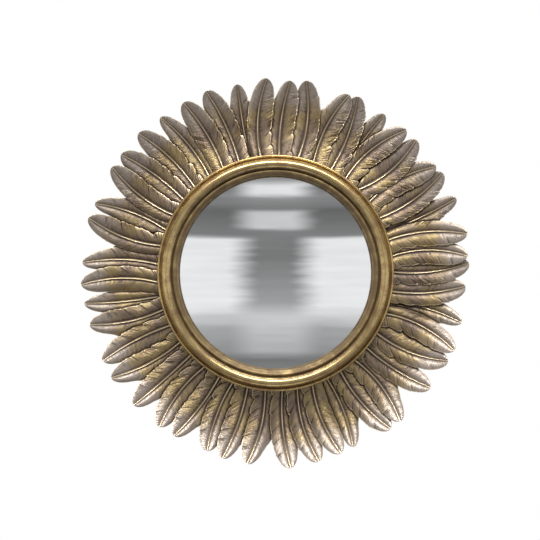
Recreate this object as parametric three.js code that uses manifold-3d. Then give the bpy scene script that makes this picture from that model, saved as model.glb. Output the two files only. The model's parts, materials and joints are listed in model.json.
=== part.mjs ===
// A convex butler's mirror: a domed round glass in a gilded torus moulding, ringed by a
// sunburst of cast feathers that overlap clockwise like shingles.
//
// Millimetres. +Z is up, the wall is the plane y = 0 and the glass looks towards -Y. The
// mirror's axis is the Y axis. A "depth" is measured forwards from the wall, so a depth d
// lies at y = -d. A "clock" angle is in degrees clockwise from the top, seen from the front.

import * as THREE from "three";
import { mergeVertices } from "three/addons/utils/BufferGeometryUtils.js";
import Module from "manifold-3d";

const wasm = await Module();
wasm.setup();

// ---- driving dimensions -------------------------------------------------------------------

const GAP = 0.3; // between pieces that touch
const OVERRUN = 0.5; // how far a cutting tool starts outside a face
const ROUND = 50; // facets round the large turned pieces
const ROUND_HIDDEN = 36; // and round the spacer, which nothing shows

const GLASS_RADIUS = 101.6; // an 8 inch disc
const GLASS_THICKNESS = 3;
const DOME_RADIUS = 400; // of the sphere that the glass is slumped to
const SIGHT_RADIUS = 98.4; // of the glass that shows inside the moulding

const LIP_DEPTH = 20.8; // rear face of the moulding, which the glass comes up to
const TORUS_RADIUS = 110.4; // of the circle that the moulding's main torus follows
const TORUS_HALF = 5.3;
const TORUS_DEPTH = 26.5; // of the torus's widest point
const TORUS_RISE = 7;
const MOULDING_RADIUS = 120.3;
const BEAD = { radius: 102.8, depth: 27.8, half: 1.7 }; // between the torus and the glass
const OUTER_BEAD = { depth: 25.4, half: 1.5, rise: 1.6 };
const GROOVE_BY_BEAD = [104.8, 26.9];
const GROOVE_BY_TORUS = [116.1, 26.2];
const FILLET = [117, 27.4]; // between the torus's groove and the outer bead
const HOLLOW = [99.4, 24.4]; // between the bead and the sight edge
const SIGHT_DEPTH = 22.2; // front corner of the sight edge

const FOOT_RADIUS = 111.8; // the moulding's foot and the ring's land end here
const ROOT_RADIUS = 112.6; // where a feather ends, under the moulding
const ROOT_COVER = 2.2; // from the dish surface up to the moulding's underside

const RING_BORE = 103.2;
const RING_RADIUS = 151;
const RIB_RADIUS = 143.6; // inside of the rib that bears on the wall
const POCKET_DEPTH = 4.5; // floor of the recess that keeps the fittings off the wall
const REBATE_RADIUS = 109;

const BOARD_RADIUS = 108.5;
const BOARD_THICKNESS = 3;
const SPACER_INNER = 95;
const SPACER_RADIUS = 102.7;

const SCREW_CIRCLE = 117;
const SCREW_SHANK = 1.8;
const SCREW_HEAD = 3.6;
const SCREW_HEAD_HEIGHT = 1.6;
const SCREW_LENGTH = 8;
const METAL = 1; // thickness of the buttons' sheet

const BUTTON_CLOCKS = [60, 180, 300];
const BUTTON_ARM = 16.5; // from its screw to its tip
const BUTTON_EYE = 5; // radius of its end round the screw
const BUTTON_TIP = 3.6; // radius of its free end
const BUTTON_HOLE = 2.3;

const WIRE = 0.9; // radius of the hanging ring's wire
const RING_HALF = 6.8; // half the width of the hanging ring, to the middle of its wire
const RING_SIDE = 3; // straight side of the ring, above its bar
const RING_CORNER = 1.4; // radius of the bends between the bar and the sides
const BAR_HEIGHT = 127; // of the ring's straight bar, above the mirror's axis
const BAR_DEPTH = 2.3;
const STRAP_WIDTH = 9.5;
const STRAP_END = 110.6;
const STRAP_REAR = 2.4;
const STRAP_FRONT = 4.2;

// The feathers' quills lie on a shallow dish: it falls back from the moulding, is lowest at
// DISH_RADIUS, and comes forward again at the tips.
const DISH_RADIUS = 155;
const DISH_FLOOR = 12.5;
const DISH_CURVE = 0.005;
const BED = 4.7; // from the dish surface down to a feather's underside, at its root
const GLUE_LINE = 0.4;
const dish = (radius) => DISH_FLOOR + DISH_CURVE * (radius - DISH_RADIUS) ** 2;

// ---- shared makers ------------------------------------------------------------------------

const finishes = {
  feather: new THREE.MeshStandardMaterial({ color: 0x8a7a5c, roughness: 0.42, metalness: 0.7 }),
  gilt: new THREE.MeshStandardMaterial({ color: 0xa98645, roughness: 0.3, metalness: 0.85 }),
  carrier: new THREE.MeshStandardMaterial({ color: 0x3a3026, roughness: 0.8, metalness: 0 }),
  mirror: new THREE.MeshStandardMaterial({ color: 0xe8eaec, roughness: 0.03, metalness: 1 }),
  card: new THREE.MeshStandardMaterial({ color: 0x8a7a64, roughness: 0.95, metalness: 0 }),
  board: new THREE.MeshStandardMaterial({ color: 0x4a3524, roughness: 0.85, metalness: 0 }),
  steel: new THREE.MeshStandardMaterial({ color: 0xb9b2a0, roughness: 0.35, metalness: 1 }),
};

const object = new THREE.Group();

function addNode(name, geometry, material, parent = object) {
  const mesh = new THREE.Mesh(geometry, material);
  mesh.name = name;
  parent.add(mesh);
  return mesh;
}

// A closed geometry as a manifold solid, and back.
function solidOf(geometry) {
  const bare = new THREE.BufferGeometry();
  bare.setAttribute("position", geometry.getAttribute("position"));
  if (geometry.index) bare.setIndex(geometry.index);
  const merged = mergeVertices(bare, 1e-3);
  const mesh = new wasm.Mesh({
    numProp: 3,
    vertProperties: merged.attributes.position.array,
    triVerts: new Uint32Array(merged.index.array),
  });
  return new wasm.Manifold(mesh);
}

function geometryOf(solid) {
  const { vertProperties, triVerts } = solid.getMesh();
  const geometry = new THREE.BufferGeometry();
  geometry.setAttribute("position", new THREE.BufferAttribute(new Float32Array(vertProperties), 3));
  geometry.setIndex(new THREE.BufferAttribute(new Uint32Array(triVerts), 1));
  return geometry;
}

// Points of [radius, depth], counter-clockwise with the radius to the right and the depth
// upwards, turned about the mirror's axis.
function turned(profile, segments = ROUND) {
  const points = profile.map(([radius, depth]) => new THREE.Vector2(radius, -depth)).reverse();
  if (points[0].x > 0) points.push(points[0].clone());
  return new THREE.LatheGeometry(points, segments);
}

// Points of an elliptical arc in a profile, between two angles in degrees.
function arc(radius, depth, width, height, from, to, steps) {
  return Array.from({ length: steps + 1 }, (_, i) => {
    const angle = THREE.MathUtils.degToRad(from + ((to - from) * i) / steps);
    return [radius + width * Math.cos(angle), depth + height * Math.sin(angle)];
  });
}

// The point at a radius and a clock angle, as x and z.
function clockPoint(radius, clock) {
  const angle = THREE.MathUtils.degToRad(clock);
  return new THREE.Vector2(radius * Math.sin(angle), radius * Math.cos(angle));
}

// ---- glass, moulding and the pieces behind them ---------------------------------------------

const glassApex = LIP_DEPTH - GAP + DOME_RADIUS - Math.sqrt(DOME_RADIUS ** 2 - SIGHT_RADIUS ** 2);
const glassFront = (radius) => glassApex - DOME_RADIUS + Math.sqrt(DOME_RADIUS ** 2 - radius ** 2);
const glassRear = (radius) => glassFront(radius) - GLASS_THICKNESS;

function convexGlass() {
  const radii = [0, 0.35, 0.7, 1].map((share) => share * GLASS_RADIUS);
  const front = radii.map((radius) => [radius, glassFront(radius)]).reverse();
  const rear = radii.map((radius) => [radius, glassRear(radius)]);
  return turned([...rear, ...front]);
}

// From the sight edge outwards: a hollow, a small bead, the torus, a fine fillet and the
// outer bead. Underneath, a foot on the carrier ring and a channel over the feathers' roots.
function rimMoulding() {
  const underside = (radius) => dish(radius) + ROOT_COVER;
  return turned([
    [SIGHT_RADIUS, LIP_DEPTH],
    [FOOT_RADIUS, LIP_DEPTH],
    [FOOT_RADIUS + GAP, underside(FOOT_RADIUS)],
    [MOULDING_RADIUS, underside(MOULDING_RADIUS)],
    ...arc(MOULDING_RADIUS - OUTER_BEAD.half, OUTER_BEAD.depth, OUTER_BEAD.half, OUTER_BEAD.rise, 0, 150, 2),
    FILLET,
    GROOVE_BY_TORUS,
    ...arc(TORUS_RADIUS, TORUS_DEPTH, TORUS_HALF, TORUS_RISE, 12, 168, 6),
    GROOVE_BY_BEAD,
    ...arc(BEAD.radius, BEAD.depth, BEAD.half, BEAD.half, 10, 190, 3),
    HOLLOW,
    [SIGHT_RADIUS, SIGHT_DEPTH],
  ]);
}

function baseRing() {
  const seat = (radius) => dish(radius) - BED - GLUE_LINE;
  const seats = [0, 0.33, 0.66, 1].map((share) => {
    const radius = THREE.MathUtils.lerp(FOOT_RADIUS, RING_RADIUS, share);
    return [radius, seat(radius)];
  });
  const step = POCKET_DEPTH + BOARD_THICKNESS + GAP;
  const ring = turned([
    [RING_BORE, step],
    [REBATE_RADIUS, step],
    [REBATE_RADIUS, POCKET_DEPTH],
    [RIB_RADIUS, POCKET_DEPTH],
    [RIB_RADIUS, 0],
    [RING_RADIUS - 1, 0],
    [RING_RADIUS, 1],
    ...seats.reverse(),
    [FOOT_RADIUS, LIP_DEPTH - GAP],
    [RING_BORE, LIP_DEPTH - GAP],
  ]);
  return [0, ...BUTTON_CLOCKS].reduce((solid, clock) => {
    const at = clockPoint(SCREW_CIRCLE, clock);
    const hole = new THREE.CylinderGeometry(SCREW_SHANK + GAP, SCREW_SHANK + GAP, SCREW_LENGTH, 12);
    hole.translate(at.x, -POCKET_DEPTH - SCREW_LENGTH / 2 + OVERRUN, at.y);
    return solid.subtract(solidOf(hole));
  }, solidOf(ring));
}

function glassSpacer() {
  const rear = POCKET_DEPTH + BOARD_THICKNESS + GAP;
  const outline = [
    [SPACER_INNER, rear],
    [SPACER_RADIUS, rear],
    [SPACER_RADIUS, glassRear(SPACER_RADIUS) - GAP],
    [SPACER_INNER, glassRear(SPACER_INNER) - GAP],
  ];
  return turned(outline, ROUND_HIDDEN);
}

const backBoard = () =>
  turned([
    [0, POCKET_DEPTH],
    [BOARD_RADIUS, POCKET_DEPTH],
    [BOARD_RADIUS, POCKET_DEPTH + BOARD_THICKNESS],
    [0, POCKET_DEPTH + BOARD_THICKNESS],
  ]);

// ---- fittings in the recess -----------------------------------------------------------------

// A pan-head screw, driven forwards from behind, whose head bears on a face at a depth.
function screw(face) {
  const seat = face - GAP;
  const tip = seat + SCREW_LENGTH;
  return turned(
    [
      [0, seat - SCREW_HEAD_HEIGHT],
      [SCREW_HEAD * 0.6, seat - SCREW_HEAD_HEIGHT * 0.9],
      [SCREW_HEAD, seat - SCREW_HEAD_HEIGHT * 0.45],
      [SCREW_HEAD, seat],
      [SCREW_SHANK, seat],
      [SCREW_SHANK, tip - 1.5],
      [0, tip],
    ],
    10,
  );
}

// A turn button: a sheet-metal arm, round at its screw hole and at its end, that points at
// the mirror's axis and so holds the back board in.
function turnButton() {
  const shape = new THREE.Shape();
  shape.absarc(0, 0, BUTTON_EYE, 0, Math.PI);
  shape.lineTo(-BUTTON_TIP, BUTTON_TIP - BUTTON_ARM);
  shape.absarc(0, BUTTON_TIP - BUTTON_ARM, BUTTON_TIP, Math.PI, 2 * Math.PI);
  shape.closePath();
  shape.holes.push(new THREE.Path().absarc(0, 0, BUTTON_HOLE, 0, 2 * Math.PI, true));
  const arm = new THREE.ExtrudeGeometry(shape, { depth: METAL, bevelEnabled: false, curveSegments: 3 });
  return arm.rotateX(Math.PI / 2).translate(0, -(POCKET_DEPTH - GAP - METAL), 0);
}

// A strip folded round the ring's bar: its profile in height and depth, pushed sideways.
function hangerStrap() {
  const curl = STRAP_FRONT - BAR_DEPTH;
  const profile = new THREE.Shape();
  profile.moveTo(STRAP_END, STRAP_REAR);
  profile.lineTo(BAR_HEIGHT - curl, STRAP_REAR);
  profile.absarc(BAR_HEIGHT, BAR_DEPTH, curl, Math.PI, 2.5 * Math.PI);
  profile.lineTo(STRAP_END, STRAP_FRONT);
  profile.closePath();
  profile.holes.push(new THREE.Path().absarc(BAR_HEIGHT, BAR_DEPTH, WIRE + GAP, 0, 2 * Math.PI, true));
  const strip = new THREE.ExtrudeGeometry(profile, {
    depth: STRAP_WIDTH,
    bevelEnabled: false,
    curveSegments: 5,
  });
  const axes = new THREE.Matrix4().makeBasis(
    new THREE.Vector3(0, 0, 1),
    new THREE.Vector3(0, -1, 0),
    new THREE.Vector3(1, 0, 0),
  );
  strip.applyMatrix4(axes).translate(-STRAP_WIDTH / 2, 0, 0);
  const through = STRAP_FRONT - STRAP_REAR + 2 * OVERRUN;
  const hole = new THREE.CylinderGeometry(BUTTON_HOLE, BUTTON_HOLE, through, 12);
  hole.translate(0, -(STRAP_FRONT + STRAP_REAR) / 2, SCREW_CIRCLE);
  return solidOf(strip).subtract(solidOf(hole));
}

// The D-shaped ring: a wire along a flat closed line, from its bar up one side, round the
// bow and down the other.
function hangerRing() {
  const line = new THREE.Path();
  line.absarc(RING_HALF - RING_CORNER, RING_CORNER, RING_CORNER, -Math.PI / 2, 0);
  line.absarc(0, RING_SIDE, RING_HALF, 0, Math.PI);
  line.absarc(RING_CORNER - RING_HALF, RING_CORNER, RING_CORNER, Math.PI, 1.5 * Math.PI);
  const middle = line.getPoints(4);
  const around = 6;
  const positions = [];
  const faces = [];
  middle.forEach((point, i) => {
    const before = middle[(i + middle.length - 1) % middle.length];
    const after = middle[(i + 1) % middle.length];
    const outward = new THREE.Vector2(after.y - before.y, before.x - after.x).normalize();
    for (let k = 0; k < around; k++) {
      const angle = (2 * Math.PI * k) / around;
      const reach = WIRE * Math.cos(angle);
      const height = BAR_HEIGHT + point.y + reach * outward.y;
      positions.push(point.x + reach * outward.x, -BAR_DEPTH + WIRE * Math.sin(angle), height);
      const here = i * around + k;
      const next = i * around + ((k + 1) % around);
      const shift = (index) => (index + around) % (middle.length * around);
      faces.push(here, next, shift(next), here, shift(next), shift(here));
    }
  });
  const geometry = new THREE.BufferGeometry();
  geometry.setAttribute("position", new THREE.Float32BufferAttribute(positions, 3));
  return geometry.setIndex(faces);
}

// ---- the feathers ---------------------------------------------------------------------------

// Three castings: one bows to the left with its broad vane on the right, one bows to the
// right, and a narrow one lies underneath wherever two others part. Vane widths are
// half-widths, drop is how far the casting lies below the dish, roll is the sideways slope
// that lifts its right vane over the next feather, and curl brings the tip forward.
const CASTINGS = {
  right: { leftVane: 11, rightVane: 15, drop: 0, roll: 0.1, curl: 1.4 },
  left: { leftVane: 13.5, rightVane: 13, drop: 0, roll: 0.1, curl: -0.9 },
  under: { leftVane: 10.5, rightVane: 10.5, drop: 2.3, roll: 0, curl: -1.2 },
};

// The lay of the wreath, clockwise from the top: the casting, the clock angle of its tip and
// of its root, the radius of its tip, and how far its quill bows clockwise at half length.
// A feather marked "low" is pressed down like an under one, because the next overlaps it too.
const LAY = [
  ["right", 4.5, 2, 196, -4],
  ["left", 9, 10.5, 198, 6.5],
  ["right", 22.5, 19.5, 196, -6.5],
  ["left", 25, 28, 198, 5],
  ["under", 34.5, 32.5, 196, -1.5],
  ["right", 42.5, 37, 197, -8],
  ["left", 46.5, 43, 197, 8.5],
  ["right", 56.5, 53.5, 196, -7.5],
  ["left", 59, 61.5, 198, 6.5],
  ["under", 67.5, 69, 199, 3],
  ["right", 78.5, 74, 199, -6.5],
  ["right", 85, 82.5, 196, -7.5],
  ["left", 87, 89, 197, 5.5],
  ["left", 94, 99, 194, 7],
  ["under", 105, 105, 196, -5],
  ["right", 113.5, 111, 198, -7.5],
  ["left", 117, 120, 197, 7.5],
  ["left", 126.5, 129, 196, 4.5],
  ["right", 140, 138.5, 197, -7],
  ["left", 143.5, 146, 197, 6],
  ["under", 156, 154.5, 194, -5],
  ["left", 160, 161, 195, 6],
  ["left", 167, 168.5, 197, 6.5],
  ["left", 175.5, 176, 199, 4.5],
  ["right", 188.5, 185.5, 196, -6],
  ["right", 196, 194, 196, -4],
  ["left", 201, 200.5, 194, 4.5],
  ["right", 212, 208.5, 195, -4],
  ["left", 217, 216, 196, 6],
  ["right", 227, 226, 197, -1.5],
  ["right", 237.5, 234.5, 198, -6],
  ["left", 243, 243, 197, 3.5],
  ["right", 254.5, 252.5, 196, -6],
  ["under", 261, 258.5, 197, -2.5],
  ["left", 266.5, 264, 198, 6.5],
  ["left", 273, 273.5, 197, 5, "low"],
  ["right", 286.5, 284, 198, -7],
  ["left", 291, 290.5, 197, 5.5, "low"],
  ["right", 303, 300, 198, -6.5],
  ["left", 307.5, 308, 198, 4],
  ["left", 315.5, 316, 199, 5],
  ["left", 323.5, 325, 197, 5, "low"],
  ["left", 331.5, 333, 197, 4.5],
  ["left", 339, 341.5, 198, 4],
  ["under", 348.5, 347, 196, -1],
  ["right", 357.5, 353, 198, -7],
].map(([casting, tip, root, reach, bow, press], i) => ({
  ...(press === "low" ? CASTINGS.under : CASTINGS[casting]),
  name: `feather_${String(i + 1).padStart(2, "0")}_${casting}`,
  under: casting === "under" || press === "low",
  tip,
  root,
  reach,
  bow,
}));
LAY.forEach((lay, i) => {
  lay.leftCovered = !LAY[(i + LAY.length - 1) % LAY.length].under;
});

const BARBS = [0, 0.25, 0.285, 0.32, 0.49, 0.69, 0.87, 0.97]; // along the quill
const SPLIT_BARB = 2; // the barb at which the right vane is split
const SPLIT_SHARE = 0.8; // of the vane's width that the split leaves
const TUCK = 4.5; // how much further a vane runs on under the feather over it
const TUCK_FADES = [0.5, 0.82]; // shares of the length between which the tuck runs out
const BARB_SLANT = 0.1; // how much further along the quill a barb ends at the vane's edge
const SLANT_FROM = 0.15; // share of the length at which the barbs have their full slant
const LEFT_ROOT_SHARE = 0.68; // of the left vane's full width, at the root
const RIGHT_ROOT_SHARE = 0.84;
const FULL_WIDTH_AT = 0.55; // share of the length at which the vanes are widest
const TIP_ROUNDNESS = 2.5; // 2 is an ellipse, more is blunter
const QUILL_HALF = 1.6; // at the root
const QUILL_RISE = 1;
const QUILL_TAPER = 0.45; // share of its width that the quill loses along its length
const GROOVE = 0.3; // depth of the groove along each side of the quill
const VANE_CROWN = 0.7;
const CROWN_AT = 0.55; // share of the vane's width
const LEFT_EDGE_DROP = 1.2;
const RIGHT_EDGE_DROP = 0.4;
const KEEL_HALF = 3;
const TIP_THICKNESS = 1.8;
const BED_HEIGHT = 12; // of the tool that beds a feather under its neighbour

// A vane's share of its full width, at a share of the feather's length.
function vaneShare(along, rootShare) {
  const swelling = Math.sin((Math.PI / 2) * Math.min(1, along / FULL_WIDTH_AT));
  const past = Math.max(0, (along - FULL_WIDTH_AT) / (1 - FULL_WIDTH_AT));
  return THREE.MathUtils.lerp(rootShare, 1, swelling) * Math.sqrt(Math.max(0, 1 - past ** TIP_ROUNDNESS));
}

const slantAt = (along) => BARB_SLANT * Math.min(1, along / SLANT_FROM) * (1 - along) ** 0.8;

// The quill's line in x and z, from the root to the tip.
function quillLine({ tip, root, reach, bow }) {
  const start = clockPoint(ROOT_RADIUS, root);
  const end = clockPoint(reach, tip);
  const clockwise = new THREE.Vector2(end.y - start.y, start.x - end.x).normalize();
  const middle = start.clone().add(end).multiplyScalar(0.5).addScaledVector(clockwise, 2 * bow);
  return new THREE.QuadraticBezierCurve(start, middle, end);
}

// The point of a feather at a share of its length, an offset to the right of the quill and a
// rise above the dish. At the root it is moved along the feather onto the root's circle.
function placer(lay, rootRadius = ROOT_RADIUS) {
  const quill = quillLine(lay);
  return (along, offset, rise) => {
    const heading = quill.getTangent(along);
    const point = quill.getPoint(along).addScaledVector(new THREE.Vector2(heading.y, -heading.x), offset);
    if (along === 0) {
      const ahead = point.dot(heading);
      const inside = rootRadius ** 2 - point.lengthSq();
      point.addScaledVector(heading, Math.sqrt(ahead ** 2 + inside) - ahead);
    }
    const depth = dish(point.length()) - lay.drop + lay.curl * along ** 2 + rise;
    return [point.x, -depth, point.y];
  };
}

// The sizes of a feather at a barb. Width and thickness fade together towards the tip.
function barbSizes(lay, along) {
  const slant = slantAt(along);
  const end = along + slant;
  const share = vaneShare(end, LEFT_ROOT_SHARE);
  const full = Math.min(1, share * 1.3);
  const tuck = TUCK * (1 - THREE.MathUtils.smoothstep(end, ...TUCK_FADES));
  return {
    end,
    middle: along + slant / 2,
    left: lay.leftVane * share + (lay.leftCovered ? tuck : 0),
    right: lay.rightVane * vaneShare(end, RIGHT_ROOT_SHARE) + (lay.under ? tuck : 0),
    full,
    under: THREE.MathUtils.lerp(BED - lay.drop, TIP_THICKNESS, along ** 1.5) * full,
  };
}

const keelHalf = (leftWidth) => Math.min(KEEL_HALF, 0.4 * leftWidth);

// A closed skin over a row of sections with the same count of points.
function skinOver(sections, rootPoint, tipPoint) {
  const around = sections[0].length;
  const rootCap = sections.length * around;
  const tipCap = rootCap + 1;
  const last = rootCap - around;
  const faces = [];
  for (let c = 0; c < around; c++) {
    const next = (c + 1) % around;
    faces.push([rootCap, next, c], [last + c, last + next, tipCap]);
    for (let low = 0; low < last; low += around) {
      const high = low + around;
      faces.push([low + c, high + next, high + c], [low + c, low + next, high + next]);
    }
  }
  const positions = [...sections.flat(), rootPoint, tipPoint].flat();
  const geometry = new THREE.BufferGeometry();
  geometry.setAttribute("position", new THREE.Float32BufferAttribute(positions, 3));
  return geometry.setIndex(faces.flat());
}

// A feather: each barb's section goes over the top from the left edge by crown, groove and
// quill to the right edge, and back over a flat keel.
function feather(lay) {
  const place = placer(lay);
  const sections = BARBS.map((along, index) => {
    const { end, middle, left, right: whole, full, under } = barbSizes(lay, along);
    const right = index === SPLIT_BARB ? whole * SPLIT_SHARE : whole;
    const groove = Math.min(QUILL_HALF * (1 - QUILL_TAPER * along), 0.3 * left);
    const keel = keelHalf(left);
    const top = (share, offset, rise) => place(share, offset, lay.roll * offset + rise * full);
    return [
      top(end, -left, -LEFT_EDGE_DROP),
      top(middle, -CROWN_AT * left, VANE_CROWN),
      top(along, -groove, -GROOVE),
      top(along, 0, QUILL_RISE * (1 - QUILL_TAPER * along)),
      top(along, groove, -GROOVE),
      top(middle, CROWN_AT * right, VANE_CROWN),
      top(end, right, -RIGHT_EDGE_DROP),
      place(along, keel, -under),
      place(along, -keel, -under),
    ];
  });
  return skinOver(sections, place(0, 0, -(BED - lay.drop) / 2), place(1, 0, 0));
}

// The room that a feather takes, with its gap and everything in front of it: the tool that
// beds its neighbour underneath.
function roomFor(lay) {
  const place = placer(lay, ROOT_RADIUS - 1);
  const sections = [...BARBS, 1].map((along) => {
    const { end, left, right, full, under } = barbSizes(lay, along);
    const keel = keelHalf(left);
    const leftEdge = -lay.roll * left - LEFT_EDGE_DROP * full - GAP;
    const rightEdge = lay.roll * right - RIGHT_EDGE_DROP * full - GAP;
    return [
      place(end, -left - GAP, leftEdge),
      place(end, -left - GAP, leftEdge + BED_HEIGHT),
      place(end, right + GAP, rightEdge + BED_HEIGHT),
      place(end, right + GAP, rightEdge),
      place(along, keel, -under - GAP),
      place(along, -keel, -under - GAP),
    ];
  });
  return skinOver(sections, place(0, 0, 0), place(1.01, 0, BED_HEIGHT / 2));
}

// The feathers that lie over a given one: the two before it, and for an under feather the
// two after it as well.
function feathersOver(index) {
  const near = LAY[index].under ? [-1, -2, 1, 2] : [-1, -2];
  return near.map((step) => LAY[(index + step + LAY.length) % LAY.length]).filter((lay) => !lay.under);
}

// A feather bedded under its neighbours, without the loose crumbs that the cut leaves.
function beddedFeather(lay, index) {
  const bedded = feathersOver(index).reduce((solid, over) => {
    const cut = solid.subtract(solidOf(roomFor(over)));
    return cut.volume() < solid.volume() - 0.01 ? cut : solid;
  }, solidOf(feather(lay)));
  return bedded.decompose().reduce((a, b) => (a.volume() > b.volume() ? a : b));
}

// ---- the assembly ---------------------------------------------------------------------------

addNode("base_ring", geometryOf(baseRing()), finishes.carrier);
addNode("rim_moulding", rimMoulding(), finishes.gilt);
addNode("convex_glass", convexGlass(), finishes.mirror);
addNode("glass_spacer", glassSpacer(), finishes.card);
addNode("back_board", backBoard(), finishes.board);

LAY.forEach((lay, index) => {
  addNode(lay.name, geometryOf(beddedFeather(lay, index)), finishes.feather);
});

BUTTON_CLOCKS.forEach((clock, i) => {
  const at = clockPoint(SCREW_CIRCLE, clock);
  const stud = new THREE.Group();
  stud.position.set(at.x, 0, at.y);
  stud.rotation.y = THREE.MathUtils.degToRad(clock);
  object.add(stud);
  addNode(`turn_button_${i + 1}`, turnButton(), finishes.steel, stud);
  addNode(`turn_button_screw_${i + 1}`, screw(POCKET_DEPTH - GAP - METAL), finishes.steel, stud);
});

addNode("hanger_strap", geometryOf(hangerStrap()), finishes.steel);
addNode("hanger_ring", hangerRing(), finishes.steel);
addNode("hanger_screw", screw(STRAP_REAR), finishes.steel).position.z = SCREW_CIRCLE;

export default object;
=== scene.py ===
"""A convex butler's mirror: its feathers, moulding, glass, backing, fittings and stage.

Metres and +Z up in the scene. The sizes below are in millimetres, as a drawing would give
them, and MM turns them into metres. The wall is the plane y = 0, the glass looks towards -Y
and the mirror's axis is the Y axis. A depth is measured forwards from the wall. A clock angle
is in degrees clockwise from the top, seen from the front.
"""

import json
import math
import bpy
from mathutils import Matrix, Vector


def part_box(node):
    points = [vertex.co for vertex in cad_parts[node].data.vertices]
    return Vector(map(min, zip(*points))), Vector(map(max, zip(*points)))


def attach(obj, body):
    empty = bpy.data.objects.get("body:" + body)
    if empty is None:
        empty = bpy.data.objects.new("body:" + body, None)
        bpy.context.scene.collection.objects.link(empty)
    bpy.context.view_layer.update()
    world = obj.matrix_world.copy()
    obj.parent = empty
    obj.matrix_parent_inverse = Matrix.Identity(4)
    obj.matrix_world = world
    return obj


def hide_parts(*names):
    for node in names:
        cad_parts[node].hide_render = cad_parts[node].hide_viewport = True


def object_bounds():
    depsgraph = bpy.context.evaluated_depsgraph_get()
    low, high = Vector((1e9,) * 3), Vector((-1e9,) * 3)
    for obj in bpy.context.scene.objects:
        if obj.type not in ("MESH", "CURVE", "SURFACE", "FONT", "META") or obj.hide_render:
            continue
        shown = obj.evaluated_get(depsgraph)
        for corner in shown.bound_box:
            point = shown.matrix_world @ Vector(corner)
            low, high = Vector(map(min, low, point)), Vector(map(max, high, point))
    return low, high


bl_info = {
    "name": "Feathered Convex Mirror",
    "version": (1, 0, 0),
    "blender": (4, 5, 0),
    "location": "View3D > Sidebar > Mirror",
    "description": "A domed round mirror in a gilt moulding, ringed by a wreath of cast feathers",
    "category": "Object",
}

from typing import NamedTuple

import bmesh
import bpy
import numpy as np
from bpy.props import FloatProperty, FloatVectorProperty, IntProperty, PointerProperty
from mathutils import Matrix, Vector

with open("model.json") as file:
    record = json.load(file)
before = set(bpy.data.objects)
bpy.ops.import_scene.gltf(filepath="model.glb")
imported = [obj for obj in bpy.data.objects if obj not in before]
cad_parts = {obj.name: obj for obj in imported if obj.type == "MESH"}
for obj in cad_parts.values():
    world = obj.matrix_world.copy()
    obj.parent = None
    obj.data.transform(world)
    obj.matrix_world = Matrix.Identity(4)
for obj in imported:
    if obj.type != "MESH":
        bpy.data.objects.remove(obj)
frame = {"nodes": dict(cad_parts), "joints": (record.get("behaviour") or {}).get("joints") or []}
CAD_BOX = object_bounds()

MM = 0.001
MERGE_DISTANCE = 1e-6  # in metres, over which a turned piece's seam and poles are closed
ROOT_BODY = "root"
FEATHER_NODES = sorted(name for name in frame["nodes"] if name.startswith("feather_"))
BUTTON_JOINTS = [joint for joint in frame["joints"] if joint["name"].startswith("button_turn")]


def node_box(name):
    """The lowest and highest corner of a CAD node, in millimetres."""
    return [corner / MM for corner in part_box(name)]


def reach_of(name):
    """How far a turned CAD node reaches from the mirror's axis, in millimetres."""
    return node_box(name)[1].z


# ---- sizes, in millimetres ----------------------------------------------------------------

ROOT_RADIUS = 112.6  # where the feathers end, under the moulding
DISH_RADIUS = 155  # the circle on which the wreath lies nearest to the wall
DISH_FLOOR = 12.5  # depth of the dish on that circle
DISH_CURVE = 0.005  # rise of the dish for each square millimetre away from that circle
BED = 4.7  # from the dish down to a feather's underside, at its root
ROOT_COVER = 2.2  # from the dish up to the moulding's underside
GLUE_LINE = 0.4  # between a feather and the carrier ring
GAP = 0.3  # between pieces that touch

LIP_DEPTH = GAP - node_box("base_ring")[0].y  # of the moulding's rear face
DOME_RADIUS = 400
SIGHT_RADIUS = 98.4
GLASS_THICKNESS = 3
GLASS_RADIUS = reach_of("convex_glass")
MOULDING_RADIUS = reach_of("rim_moulding")
RING_RADIUS = reach_of("base_ring")
RING_BORE = 103.2
REBATE_RADIUS = 109
RIB_RADIUS = 143.6  # the inner radius of the rib that bears on the wall
FOOT_RADIUS = 111.8  # of the moulding's foot, which stands in the ring of feathers
POCKET_DEPTH = 4.5  # of the recess that keeps the fittings off the wall
BOARD_RADIUS = reach_of("back_board")
BOARD_THICKNESS = 3
BOARD_BEVEL = 0.3
REBATE_DEPTH = POCKET_DEPTH + BOARD_THICKNESS + GAP  # of the step that the board bears on
SPACER_INNER = 95
SPACER_RADIUS = reach_of("glass_spacer")
SCREW_CIRCLE = 117


def dish(radius):
    """Depth of the shallow dish that the feathers' quills lie on."""
    return DISH_FLOOR + DISH_CURVE * (radius - DISH_RADIUS) ** 2


def clock_point(radius, clock):
    """The point at a radius and a clock angle, as x and z."""
    angle = np.radians(clock)
    return np.array([radius * np.sin(angle), radius * np.cos(angle)])


def arc(middle, level, width, height, first, last, steps):
    """Points of an elliptical arc about a point of a drawing, between two angles in degrees,
    counter-clockwise with the first coordinate to the right and the second upwards."""
    angles = np.radians(np.linspace(first, last, steps + 1))
    return [(middle + width * math.cos(a), level + height * math.sin(a)) for a in angles]


def smoothstep(low, high, value):
    """0 up to low, 1 from high on and an even curve between. High may be the lesser one."""
    share = np.clip((value - low) / (high - low), 0, 1)
    return share * share * (3 - 2 * share)


# ---- nodes written as arithmetic ----------------------------------------------------------


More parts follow.
